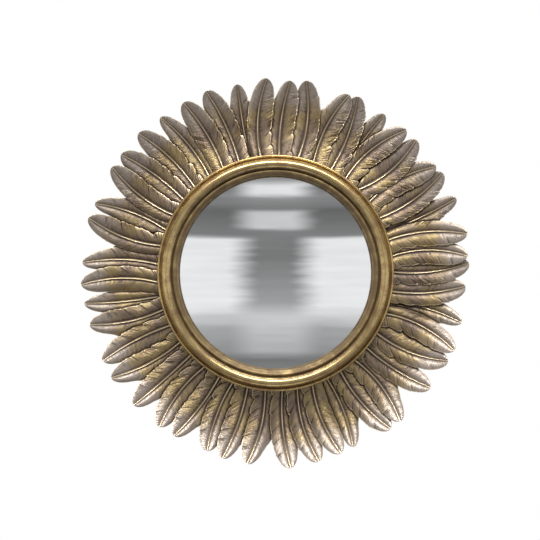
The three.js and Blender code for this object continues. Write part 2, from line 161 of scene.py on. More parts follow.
class Wire:
    """An output of a node that carries a value. Python's arithmetic on it adds Math nodes."""

    def __init__(self, bench, socket):
        self.bench = bench
        self.socket = socket

    def _joined(self, operation, first, second):
        return self.bench.add("ShaderNodeMath", {0: first, 1: second}, operation=operation)

    def __add__(self, other):
        return self._joined("ADD", self, other)

    def __sub__(self, other):
        return self._joined("SUBTRACT", self, other)

    def __rsub__(self, other):
        return self._joined("SUBTRACT", other, self)

    def __mul__(self, other):
        return self._joined("MULTIPLY", self, other)

    def __truediv__(self, other):
        return self._joined("DIVIDE", self, other)

    def __rtruediv__(self, other):
        return self._joined("DIVIDE", other, self)

    def __pow__(self, other):
        return self._joined("POWER", self, other)

    __radd__ = __add__
    __rmul__ = __mul__

    def most(self, other):
        """The larger of two values."""
        return self._joined("MAXIMUM", self, other)

    def of(self, operation):
        """One-input maths, such as SINE, FLOOR or FRACT."""
        return self.bench.add("ShaderNodeMath", {0: self}, operation=operation)

    def ramp(self, low, high):
        """0 where the value is low or less, 1 where it is high or more, smooth between."""
        values = {"Value": self, "From Min": low, "From Max": high}
        return self.bench.add("ShaderNodeMapRange", values, interpolation_type="SMOOTHSTEP")


class Bench:
    """Puts nodes into one node tree."""

    def __init__(self, tree):
        self.tree = tree

    def add(self, kind, values=None, output=0, stops=None, **settings):
        """Adds a node: first its settings and a ramp's stops, then a value or a link for each
        socket. Returns the wire of one output."""
        node = self.tree.nodes.new(kind)
        for name, setting in settings.items():
            setattr(node, name, setting)
        for place, (position, colour) in enumerate(stops or []):
            elements = node.color_ramp.elements
            stop = elements[place] if place < len(elements) else elements.new(position)
            stop.position = position
            stop.color = (*colour, 1)
        for socket, value in (values or {}).items():
            if isinstance(value, Wire):
                self.tree.links.new(value.socket, node.inputs[socket])
            else:
                node.inputs[socket].default_value = value
        return Wire(self, node.outputs[output]) if node.outputs else node

    def more(self, wire, output):
        """Another output of the node that a wire comes from."""
        return Wire(self, wire.socket.node.outputs[output])


class Paint(Bench):
    """A bench for one Principled material."""

    def __init__(self, name, colour, **sockets):
        self.material = bpy.data.materials.new(name)
        self.material.use_nodes = True
        self.material.diffuse_color = (*colour, 1)
        super().__init__(self.material.node_tree)
        self.shader = self.tree.nodes["Principled BSDF"]
        self.finish(Base_Color=(*colour, 1), **sockets)

    def finish(self, **sockets):
        """Sets or links the shader's sockets, with _ for the spaces in their names."""
        for name, value in sockets.items():
            socket = self.shader.inputs[name.replace("_", " ")]
            if isinstance(value, Wire):
                self.tree.links.new(value.socket, socket)
            else:
                socket.default_value = value

    def place(self):
        """The point on the object, in metres."""
        return self.add("ShaderNodeTexCoord", output="Object")

    def attribute(self, name):
        """The value of a mesh's named attribute."""
        return self.add("ShaderNodeAttribute", attribute_name=name, output="Fac")

    def noise(self, size, detail=3, stretch=(1, 1, 1), roughness=0.55, along=None):
        """Soft noise between 0 and 1 whose lumps are about a size, in metres or in the units
        of the vector that it runs along."""
        vector = self.place() if along is None else along
        mapped = self.add("ShaderNodeMapping", {"Vector": vector, "Scale": stretch})
        values = {"Vector": mapped, "Scale": 1 / size, "Detail": detail, "Roughness": roughness}
        return self.add("ShaderNodeTexNoise", values)

    def radius(self):
        """Distance from the mirror's axis, in metres."""
        x = self.add("ShaderNodeSeparateXYZ", {0: self.place()})
        z = self.more(x, "Z")
        return (x * x + z * z) ** 0.5

    def mix(self, share, first, second):
        """A colour between two colours."""
        values = {0: share}
        for socket, colour in ((6, first), (7, second)):
            values[socket] = colour if isinstance(colour, Wire) else (*colour, 1)
        return self.add("ShaderNodeMix", values, output=2, data_type="RGBA")

    def bump(self, height, distance, strength=1.0, under=None):
        """A normal from a height between 0 and 1 that stands for a distance in metres."""
        values = {"Height": height, "Distance": distance, "Strength": strength}
        if under is not None:
            values["Normal"] = under
        return self.add("ShaderNodeBump", values)


# ---- finishes -----------------------------------------------------------------------------


def feather_finish(sizes):
    """Leafed resin: a dark wash in the hollows and between the barbs, painted shade under the
    feather above, at the root and in the creases between clumps, streaks of leaf along the barbs,
    silvery tips, and quills and edges rubbed bright."""
    paint = Paint("feather_gilt", sizes.gold, Metallic=0.8, Roughness=0.45)
    hollow_and_shade, proud, barb, vane = (paint.attribute(n) for n in ("hollow_and_shade", "proud", "barb", "vane"))
    lie = paint.add("ShaderNodeCombineXYZ", {0: barb, 1: vane})
    patches = paint.noise(0.022, 3)
    grain = paint.noise(0.0015, 3)
    streaks = paint.noise(1.3, 2, stretch=(1, 1.5, 1), along=lie)
    hairs = paint.noise(0.45, 2, stretch=(1, 1.2, 1), along=lie)
    on_vane = vane.ramp(0.02, 0.2)
    joint = (barb.of("FRACT") - 0.5).of("ABSOLUTE").ramp(0.28, 0.5) * on_vane
    brushed = ((streaks - 0.5) * 3 + (hairs - 0.5) * 2.2) * on_vane
    uneven = brushed + (patches - 0.5) * 1.5 + (grain - 0.5) * 1.5
    # the dark wash in the hollows and between the barbs, together with painted shade under the
    # feather above, at the root and in the creases
    wash_and_shade = (hollow_and_shade + joint * 0.85 + uneven * 0.5 + 0.12).ramp(0.12, 0.95)
    rubbed = (proud + uneven * 0.3).ramp(0.3, 0.8)
    silvery = (paint.radius() + (patches - 0.5) * 0.03).ramp(0.158, 0.186)
    warm = paint.mix(patches.ramp(0.35, 0.65), sizes.gold, sizes.champagne)
    leaf = paint.mix(silvery, warm, sizes.silver)
    colour = paint.mix(wash_and_shade * (1 - silvery * 0.35), leaf, sizes.umber)
    colour = paint.mix(rubbed * 0.9, colour, sizes.rubbed)
    pitted = paint.bump(grain, 0.00012, 0.5)
    paint.finish(
        Base_Color=colour,
        Metallic=0.9 - wash_and_shade * 0.4,
        Roughness=0.38 + wash_and_shade * 0.16 - rubbed * 0.18,
        Normal=paint.bump(hairs * on_vane, 0.00035, 1.0, under=pitted),
    )
    return paint.material


def moulding_finish(sizes):
    """Burnished gold leaf with brown speckles, and a brown wash in the turned grooves."""
    paint = Paint("moulding_gilt", sizes.gold, Metallic=0.9, Roughness=0.3)
    hollow_and_shade = paint.attribute("hollow_and_shade")
    patches = paint.noise(0.011, 4)
    speckle = paint.noise(0.0019, 2, roughness=0.7)
    wash_and_shade = (hollow_and_shade + (patches - 0.5) * 0.8).ramp(0.25, 0.9)
    specks = (speckle + (patches - 0.5) * 0.35).ramp(0.58, 0.68)
    warm = paint.mix(patches.ramp(0.35, 0.7), sizes.gold, sizes.bronze)
    washed = paint.mix(wash_and_shade * 0.9, warm, sizes.umber)
    colour = paint.mix(specks * 0.5, washed, sizes.umber)
    dark = wash_and_shade.most(specks * 0.6)
    paint.finish(
        Base_Color=colour,
        Metallic=0.95 - dark * 0.4,
        Roughness=0.22 + dark * 0.26 + patches * 0.1,
        Normal=paint.bump(paint.noise(0.006, 3), 0.00025, 0.35),
    )
    return paint.material


def mirror_finish(sizes):
    """Silvered glass, a little rougher at its very edge, which painted shade darkens where the
    moulding meets it.
    """
    paint = Paint("mirror_silver", sizes.silver, Metallic=1.0, Roughness=sizes.polish)
    # painted shade: a dark ring round the sight edge, where the moulding meets the glass
    edge = paint.radius().ramp((SIGHT_RADIUS - 2.5) * MM, (SIGHT_RADIUS + 0.5) * MM)
    haze = paint.noise(0.05, 2)
    paint.finish(
        Base_Color=paint.mix(edge * 0.45, sizes.silver, sizes.edge),
        Roughness=sizes.polish + edge * 0.05 + haze * 0.012,
    )
    return paint.material


def carrier_finish(sizes):
    """Fibreboard under a thin brushed coat of dark brown paint."""
    paint = Paint("carrier_paint", sizes.carrier, Roughness=0.7)
    fibres = paint.noise(0.0009, 4, roughness=0.7)
    brushed = paint.noise(0.004, 3, stretch=(1, 1, 0.15))
    worn = (brushed * 0.7 + fibres * 0.3).ramp(0.56, 0.72)
    paint.finish(
        Base_Color=paint.mix(worn * 0.55, sizes.carrier, sizes.bare),
        Roughness=0.62 + fibres * 0.25,
        Normal=paint.bump(fibres, 0.0002, 0.6, under=paint.bump(brushed, 0.0003, 0.3)),
    )
    return paint.material


def board_finish(sizes):
    """Hardboard, with flecks of pale and dark fibre pressed into a smooth brown face."""
    paint = Paint("hardboard", sizes.board, Roughness=0.6)
    flecks = paint.noise(0.0012, 5, stretch=(1, 1, 0.4), roughness=0.75)
    clouds = paint.noise(0.03, 3)
    tone = paint.mix(clouds.ramp(0.3, 0.7), sizes.board, sizes.bare)
    flecked = paint.mix(flecks.ramp(0.52, 0.7) * 0.5, tone, sizes.fleck)
    paint.finish(
        Base_Color=flecked,
        Roughness=0.48 + flecks * 0.25,
        Normal=paint.bump(flecks, 0.00015, 0.5),
    )
    return paint.material


def card_finish(sizes):
    """Wound grey-brown card, its plies showing as fine rings."""
    paint = Paint("spacer_card", sizes.card, Roughness=0.85)
    fibres = paint.noise(0.0008, 4)
    plies = paint.noise(0.003, 2, stretch=(1, 6, 1))
    paint.finish(
        Base_Color=paint.mix(plies.ramp(0.35, 0.65) * 0.5, sizes.card, sizes.bare),
        Normal=paint.bump(fibres, 0.00018, 0.6),
    )
    return paint.material


def plated_finish(sizes):
    """Brass-washed steel, brushed and a little tarnished."""
    paint = Paint("brass_wash", sizes.brass, Metallic=1.0, Roughness=0.32)
    brushed = paint.noise(0.0014, 3, stretch=(0.12, 1, 1))
    tarnish = paint.noise(0.005, 4).ramp(0.52, 0.75)
    paint.finish(
        Base_Color=paint.mix(tarnish * 0.6, sizes.brass, sizes.tarnish),
        Roughness=0.26 + brushed * 0.14 + tarnish * 0.2,
        Normal=paint.bump(brushed, 0.00005, 0.5),
    )
    return paint.material


# ---- making pieces ------------------------------------------------------------------------


def new_object(name, mesh):
    """Puts a mesh into the scene as a piece."""
    piece = bpy.data.objects.new(name, mesh)
    bpy.context.scene.collection.objects.link(piece)
    return piece


def mesh_of(name, points, faces=(), edges=()):
    """A mesh from points in millimetres."""
    mesh = bpy.data.meshes.new(name)
    mesh.from_pydata((np.asarray(points) * MM).tolist(), edges, faces)
    return mesh


def mark(mesh, name, values):
    """Stores a value for each point of a mesh, which nodes read by its name."""
    mesh.attributes.new(name, "FLOAT", "POINT").data.foreach_set("value", values)


def geometry_tree(name, inputs):
    """A Geometry Nodes tree and its bench, with named inputs of (socket type, default)."""
    tree = bpy.data.node_groups.new(name, "GeometryNodeTree")
    tree.is_modifier = True
    tree.interface.new_socket("Geometry", in_out="INPUT", socket_type="NodeSocketGeometry")
    for label, (kind, default) in inputs.items():
        socket = tree.interface.new_socket(label, in_out="INPUT", socket_type=kind)
        if default is not None:
            socket.default_value = default
    tree.interface.new_socket("Geometry", in_out="OUTPUT", socket_type="NodeSocketGeometry")
    bench = Bench(tree)
    return tree, bench, bench.add("NodeGroupInput", output="Geometry")


def finish_tree(bench, geometry, material):
    """Ends a tree with Realize Instances and Set Material."""
    solid = bench.add("GeometryNodeRealizeInstances", {"Geometry": geometry})
    coated = bench.add("GeometryNodeSetMaterial", {"Geometry": solid, "Material": material})
    bench.add("NodeGroupOutput", {"Geometry": coated})


def run_tree(piece, tree, values):
    """Runs a tree on a piece with its named inputs, and keeps the plain mesh that it gives."""
    modifier = piece.modifiers.new(tree.name, "NODES")
    modifier.node_group = tree
    for item in tree.interface.items_tree:
        if item.in_out == "INPUT" and item.name in values:
            modifier[item.identifier] = values[item.name]
    return bake_modifiers(piece)


def bake_modifiers(piece):
    """Turns a piece's modifiers into its plain mesh."""
    bpy.context.view_layer.update()
    graph = bpy.context.evaluated_depsgraph_get()
    finished = bpy.data.meshes.new_from_object(piece.evaluated_get(graph))
    finished.name = piece.name
    piece.modifiers.clear()
    piece.data = finished
    return piece


def smooth(piece, angle=35):
    """Shades a piece smooth, apart from edges sharper than an angle in degrees."""
    piece.data.shade_smooth()
    piece.data.set_sharp_from_angle(angle=math.radians(angle))
    return piece


def hand_over(piece, material, slot, *nodes, body=ROOT_BODY):
    """Gives a piece its finish and its body, and hides the CAD nodes that it stands for."""
    piece.data.materials.clear()
    piece.data.materials.append(material)
    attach(piece, body)
    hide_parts(*nodes)


# ---- turned pieces ------------------------------------------------------------------------


def turning_tree():
    """Turns an outline about the mirror's axis. The outline's corners come in order, each at
    x = radius and y = -depth, and the last corner repeats the first."""
    inputs = {"Facets": ("NodeSocketInt", 180), "Finish": ("NodeSocketMaterial", None)}
    tree, bench, source = geometry_tree("turned_piece", inputs)
    facets, material = bench.more(source, "Facets"), bench.more(source, "Finish")
    sizes = {"Geometry": source}
    corners = bench.add("GeometryNodeAttributeDomainSize", sizes, output="Point Count")
    grid = bench.add(
        "GeometryNodeMeshGrid",
        {"Size X": 1.0, "Size Y": 1.0, "Vertices X": facets + 1, "Vertices Y": corners},
    )
    position = bench.add("GeometryNodeInputPosition")
    column = bench.add("ShaderNodeSeparateXYZ", {0: position})
    angle = (column + 0.5) * (2 * math.pi)
    row = ((bench.more(column, "Y") + 0.5) * (corners - 1) + 0.5).of("FLOOR")

    def at_corner(value, kind):
        values = {"Geometry": source, "Value": value, "Index": row}
        return bench.add("GeometryNodeSampleIndex", values, data_type=kind)

    radius = bench.add("ShaderNodeSeparateXYZ", {0: at_corner(position, "FLOAT_VECTOR")})
    place = bench.add(
        "ShaderNodeCombineXYZ",
        {
            "X": radius * angle.of("SINE"),
            "Y": bench.more(radius, "Y"),
            "Z": radius * angle.of("COSINE"),
        },
    )
    hollow_and_shade = bench.add("GeometryNodeInputNamedAttribute", {"Name": "hollow_and_shade"})
    marked = bench.add(
        "GeometryNodeStoreNamedAttribute",
        {"Geometry": grid, "Name": "hollow_and_shade", "Value": at_corner(hollow_and_shade, "FLOAT")},
        data_type="FLOAT",
        domain="POINT",
    )
    turned = bench.add("GeometryNodeSetPosition", {"Geometry": marked, "Position": place})
    merging = {"Geometry": turned, "Distance": MERGE_DISTANCE}
    closed = bench.add("GeometryNodeMergeByDistance", merging)
    finish_tree(bench, closed, material)
    return tree


def outline_mesh(name, outline):
    """The line that turning_tree turns, from an outline of (radius, depth) in millimetres."""
    points = [(radius, -depth, 0) for radius, depth in [*outline, outline[0]]]
    return mesh_of(name, points, edges=[(i, i + 1) for i in range(len(outline))])


def turned(name, outline, facets, material, hollow_and_shade=None):
    """A turned piece from a closed outline of (radius, depth) in millimetres, counter-
    clockwise with the radius to the right and the depth upwards."""
    mesh = outline_mesh(name, outline)
    wash_and_shade = [hollow_and_shade(radius, depth) if hollow_and_shade else 0.0 for radius, depth in outline]
    mark(mesh, "hollow_and_shade", [*wash_and_shade, wash_and_shade[0]])
    piece = new_object(name, mesh)
    run_tree(piece, bpy.data.node_groups["turned_piece"], {"Facets": facets, "Finish": material})
    return smooth(outward(piece))


def outward(piece):
    """Turns a closed piece's faces outwards."""
    shell = bmesh.new()
    shell.from_mesh(piece.data)
    bmesh.ops.recalc_face_normals(shell, faces=shell.faces)
    shell.to_mesh(piece.data)
    shell.free()
    return piece


def glass_front(radius):
    """Depth of the glass's front face, whose edge meets the moulding's lip."""
    edge = math.sqrt(DOME_RADIUS**2 - SIGHT_RADIUS**2)
    return LIP_DEPTH - GAP + math.sqrt(DOME_RADIUS**2 - radius**2) - edge


OUTER_GROOVE = ((117.2, 25.6), (116.8, 25.6))  # between the torus and the outer bead
INNER_GROOVE = ((105.6, 26.3), (105.3, 26.3))  # between the torus and the low bead
WASHED_GROOVES = ((105.5, 0.5), (117.0, 0.4), (100.4, 0.7))  # radius and half-width of each
GROOVE_TOP = 28.2  # depth above which no wash lies
HIDDEN_DEPTH = 25.2  # depth below which the moulding's outside is hidden
DULL_FROM, DULL_TO = 108.3, 106.8  # radii between which the inner side of the torus dulls
DULL_WASH = 0.75


def moulding_outline():
    """The outline, from the lip and the underside, over the outer bead, the torus and the
    low bead, to the cove at the sight edge."""
    underside = np.linspace(FOOT_RADIUS + GAP, MOULDING_RADIUS, 5)
    under = [(radius, dish(radius) + ROOT_COVER) for radius in underside]
    outer_bead = arc(118.9, 25.7, 1.4, 1.7, 0, 165, 12)
    torus = arc(111.1, 26.6, 5.3, 6.9, 4, 175, 40)
    bead = arc(103.2, 26.7, 1.9, 2.0, 10, 140, 10)
    cove = [(100.6, 26.6), (99.8, 25.4), (99.1, 24.1), (98.6, 23.0), (SIGHT_RADIUS, 22.4)]
    lip = [(SIGHT_RADIUS, LIP_DEPTH), (FOOT_RADIUS, LIP_DEPTH)]
    return [*lip, *under, *outer_bead, *OUTER_GROOVE, *torus, *INNER_GROOVE, *bead, *cove]


def moulding_hollow(radius, depth):
    """How much brown wash a point of the moulding holds: 1 at the grooves' bottoms and on
    the hidden underside, and a good deal on the inner side."""
    near = max(math.exp(-(((radius - at) / width) ** 2)) for at, width in WASHED_GROOVES)
    groove = near * float(depth < GROOVE_TOP)
    hidden = float(depth < HIDDEN_DEPTH and radius > SIGHT_RADIUS + 4)
    dull = DULL_WASH * float(smoothstep(DULL_FROM, DULL_TO, radius))
    return max(groove, hidden, dull)


def carrier_outline():
    """The carrier ring: its land, the seats of the feathers, and the rib on the wall."""

    def seat(radius):
        return dish(radius) - BED - GLUE_LINE

    cove, edge, corner = 0.8, 0.4, 1
    outer = RING_RADIUS - corner
    seats = [(radius, seat(radius)) for radius in np.linspace(RING_RADIUS - edge, FOOT_RADIUS, 9)]
    return [
        (RING_BORE, REBATE_DEPTH),
        (REBATE_RADIUS, REBATE_DEPTH),
        (REBATE_RADIUS, POCKET_DEPTH),
        (RIB_RADIUS - cove, POCKET_DEPTH),
        (RIB_RADIUS, POCKET_DEPTH - cove),
        (RIB_RADIUS, edge),
        (RIB_RADIUS + edge, 0),
        (outer, 0),
        *arc(outer, corner, corner, corner, -60, 0, 4),
        (RING_RADIUS, seat(RING_RADIUS) - edge),
        *seats,
        (FOOT_RADIUS, LIP_DEPTH - GAP),
        (RING_BORE, LIP_DEPTH - GAP),
    ]


def glass_rear(radius):
    """Depth of the glass's rear face."""
    return glass_front(radius) - GLASS_THICKNESS


def spacer_outline():
    """The card spacer, from the carrier's step to the glass."""
    ends = (SPACER_INNER, SPACER_RADIUS)
    rear = [(radius, REBATE_DEPTH) for radius in ends]
    return [*rear, *((radius, glass_rear(radius) - GAP) for radius in ends[::-1])]


def board_outline():
    """The hardboard back, with its edge a little rounded."""
    front, edge = POCKET_DEPTH + BOARD_THICKNESS, BOARD_RADIUS - BOARD_BEVEL
    return [
        (0, POCKET_DEPTH),
        (edge, POCKET_DEPTH),
        (BOARD_RADIUS, POCKET_DEPTH + BOARD_BEVEL),
        (BOARD_RADIUS, front - BOARD_BEVEL),
        (edge, front),
        (0, front),
    ]


# ---- the feathers -------------------------------------------------------------------------


class Casting(NamedTuple):
    """One of the three feather castings: the half-widths of its vanes, how far it lies below
    the dish, its sideways slope, and how far its tip curls forward."""

    left: float
    right: float
    drop: float
    roll: float
    curl: float


CASTINGS = {
    "right": Casting(11, 15, 0, 0.1, 1.4),
    "left": Casting(13.5, 13, 0, 0.1, -0.9),
    "under": Casting(10.5, 10.5, 2.3, 0, -1.2),
}
PRESSED_DOWN = ("feather_36_left", "feather_38_left", "feather_42_left")  # as an under one lies

# The outline of a vane.
ROOT_SHARES = {-1: 0.68, 1: 0.84}  # of the vanes' full width, at the root
FULL_WIDTH_AT = 0.55  # share of the length at which the vanes are widest
TIP_ROUNDNESS = 2.9  # 2 is an ellipse, more is blunter
TIP_CLEARANCE = 0.4  # how much shorter than the casting's the tip is
SLANT = 0.2  # how much further along the quill a barb ends at the vane's edge
SLANT_FROM = 0.3  # share of the length at which the barbs have their full slant
CLUMP_JITTER = 0.04  # of the length
NOTCH_JITTER = (0.3, 1.4)
FRAY = {-1: 0.006, 1: 0.014}  # of a barb's end, as a share of the vane's width
FRAY_FADES = 0.15  # share of the length before the tip over which the edge turns even

# The section of a feather.
QUILL_HALF = 0.95
QUILL_RISE = 1.2
QUILL_TAPER = 0.5  # share of its width and of its rise that the quill loses to the tip
GROOVE = 0.8  # depth of the groove on each side of the quill
GROOVE_OFFSET = 1.25  # of the groove from the quill's middle, in quill half-widths
CROWN = 0.8  # rise of a vane between the quill and its edge
CREST = 0.5  # share of a vane's width at which it is highest
EDGE_DROP = {-1: 1.2, 1: 0.4}  # of the left and of the right vane
EDGE_THICKNESS = 0.75
TIP_THICKNESS = 1.8
KEEL_HALF = 3  # of the flat that the underside ends in
KEEL_FADE = 1.5  # power of the length by which the underside thins towards the tip

# The lie of a feather, a clump of barbs and a barb.
TIP_CURL = 5  # how much further forward than the casting the tip is drawn out
CURL_FROM = 0.3  # share of the length at which the tip starts to curl
ROOT_SINK = 1.2  # how far the top sinks under the moulding, so that it runs in level
SINK_ENDS = 0.3  # share of the length at which the root stops sinking
ROOT_CIRCLE_ENDS = 0.14  # share of the length over which the root is drawn onto its circle
LIFT = {-1: 0.15, 1: 0.42}  # of a clump's far end over the next clump's near end
LIFT_LEVEL = 0.35  # share of the lift by which a clump's near end lies low
LIFT_FADES = (0.08, 0.1)  # shares of the length at the root and the tip that aren't lifted
BARB_NUMBERS = 100  # from one feather's first barb to the next feather's

# The bed of a feather under the ones that lie over it.
TUCK = 5  # how much further a vane runs on under the feather over it
TUCK_FADES = (0.5, 0.82)  # shares of the length between which the tuck runs out
LEAST_WIDTH = 0.08  # share of its width to which a covered vane may be cut back
CLEAR = 0.3  # between a feather and the one over it
RELEASE, RELEASE_SLOPE = 0.4, 1.4  # how far beside the upper feather, and how steeply, it rises
PRESS_REACH = 6  # how far beside the upper feather it is held down at all
SHADE_REACH = 3.2  # how far the painted shade runs out from under the feather above

# The sections, and the search for a casting's quill.
SECTIONS = 3  # for each barb
LAST_BARB = 0.93  # share of the length at which the barbs end and the tip is rounded off
LAST_SECTION = 0.998
TIP_SECTIONS = 11
WINDOW = 7  # sections on each side over which a cut-back edge is evened out
QUILL_LENGTH = 90  # about, for stepping along a quill
QUILL_SEARCH = 9  # degrees of the root, and millimetres of the bow, to each side
QUILL_STEP = 0.5
QUILL_MATCH = 0.05  # how near a corner has to be to count
TRIMMED_TIPS = {"feather_14_left": (193.7, 94)}  # radius and clock of a tip that is cut away
FEATHER_CREASE = 70  # angle in degrees past which an edge of a feather stays sharp
QUILL_STATIONS = (0.25, 0.285, 0.32, 0.49, 0.69, 0.87)  # with corners in the CAD
VANE_SHARES = np.array([0.03, 0.1, 0.2, 0.31, 0.43, 0.55, 0.67, 0.79, 0.89, 0.96, 1.0])
RIDGE_SHARES = np.array([-0.85, -0.5, 0.0, 0.5, 0.85])

# The clumps of barbs of the two vanes: where each ends along its edge, and how much narrower
# the next one starts.
CLUMPS = {
    -1: ((0.31, 0.05), (0.52, 0.05), (0.71, 0.03)),
    1: ((0.17, 0.24), (0.37, 0.2), (0.54, 0.07), (0.68, 0.09), (0.82, 0.05)),
}


def vane_share(along, side):
    """A vane's share of its full width, at shares of the feather's length."""
    root = ROOT_SHARES[side]
    swelling = np.sin(np.pi / 2 * np.minimum(1, along / FULL_WIDTH_AT))
    past = np.maximum(0, (along - FULL_WIDTH_AT) / (1 - FULL_WIDTH_AT))
    rounding = np.sqrt(np.maximum(0, 1 - past**TIP_ROUNDNESS))
    return (root + (1 - root) * swelling) * rounding


def slant_at(along):
    """How much further along the quill than its start a barb ends."""
    return SLANT * np.minimum(1, along / SLANT_FROM) * np.maximum(0, 1 - along) ** 0.8


class Quill:
    """A feather's quill: a quadratic curve in x and z, from its root to its tip."""

    def __init__(self, start, end, bow):
        chord = end - start
        clockwise = np.array([chord[1], -chord[0]]) / np.hypot(*chord)
        self.start, self.end = start, end
        self.control = (start + end) / 2 + clockwise * 2 * bow

    def point(self, along):
        """The point at a share of the length."""
        along = np.asarray(along)[..., None]
        ends = (1 - along) ** 2 * self.start + along**2 * self.end
        return ends + 2 * along * (1 - along) * self.control

    def heading(self, along):
        """The direction towards the tip."""
        along = np.asarray(along)[..., None]
        first = (1 - along) * (self.control - self.start)
        slope = first + along * (self.end - self.control)
        return slope / np.linalg.norm(slope, axis=-1, keepdims=True)

    def across(self, along):
        """The direction to the feather's right."""
        heading = self.heading(along)
        return np.stack([heading[..., 1], -heading[..., 0]], axis=-1)

    def locate(self, points):
        """Where points lie: their share of the length, and their offset to the right."""
        along = np.linspace(0, 1, 61)
        away = np.linalg.norm(points[..., None, :] - self.point(along), axis=-1)
        nearest = along[away.argmin(axis=-1)]
        for _ in range(3):
            gap = points - self.point(nearest)
            step = (gap * self.heading(nearest)).sum(-1) / QUILL_LENGTH
            nearest = np.clip(nearest + step, 0, 1)
        gap = points - self.point(nearest)
        return nearest, (gap * self.across(nearest)).sum(-1)


def read_quill(name):
    """The quill of a CAD feather. Its tip is the node's farthest point from the axis. Its
    root's clock angle and its bow are those whose stations meet the most corners of the
    node."""
    mesh = frame["nodes"][name].data
    corners = np.array([(v.co.x, v.co.z) for v in mesh.vertices]) / MM
    corners = np.unique(corners.round(3), axis=0)
    radii = np.hypot(*corners.T)
    tip = clock_point(*TRIMMED_TIPS[name]) if name in TRIMMED_TIPS else corners[radii.argmax()]
    root = corners[radii < ROOT_RADIUS + 0.1].mean(axis=0)
    middle = round(math.degrees(math.atan2(*root)))
    stations = np.array(QUILL_STATIONS)
    tried = np.arange(-QUILL_SEARCH, QUILL_SEARCH + QUILL_STEP, QUILL_STEP)
    best = (-1, None)
    for clock in middle + tried:
        for bow in tried:
            quill = Quill(clock_point(ROOT_RADIUS, clock), tip, bow)
            line, across = quill.point(stations), quill.across(stations)
            sides = [line + KEEL_HALF * across, line - KEEL_HALF * across]
            probes = np.concatenate([quill.start[None], line, *sides])
            away = np.linalg.norm(probes[:, None] - corners, axis=-1).min(axis=1)
            score = np.exp(-((away / QUILL_MATCH) ** 2)).sum()
            if score > best[0]:
                best = (score, quill)
    quill = best[1]
    quill.end = quill.end * (1 - TIP_CLEARANCE / np.hypot(*quill.end))
    return quill


def windowed(values, measure):
    """A measure, such as the least value, of the sections on both sides of each one."""
    padded = np.pad(values, WINDOW, mode="edge")
    return np.array([measure(padded[i : i + 2 * WINDOW + 1]) for i in range(len(values))])


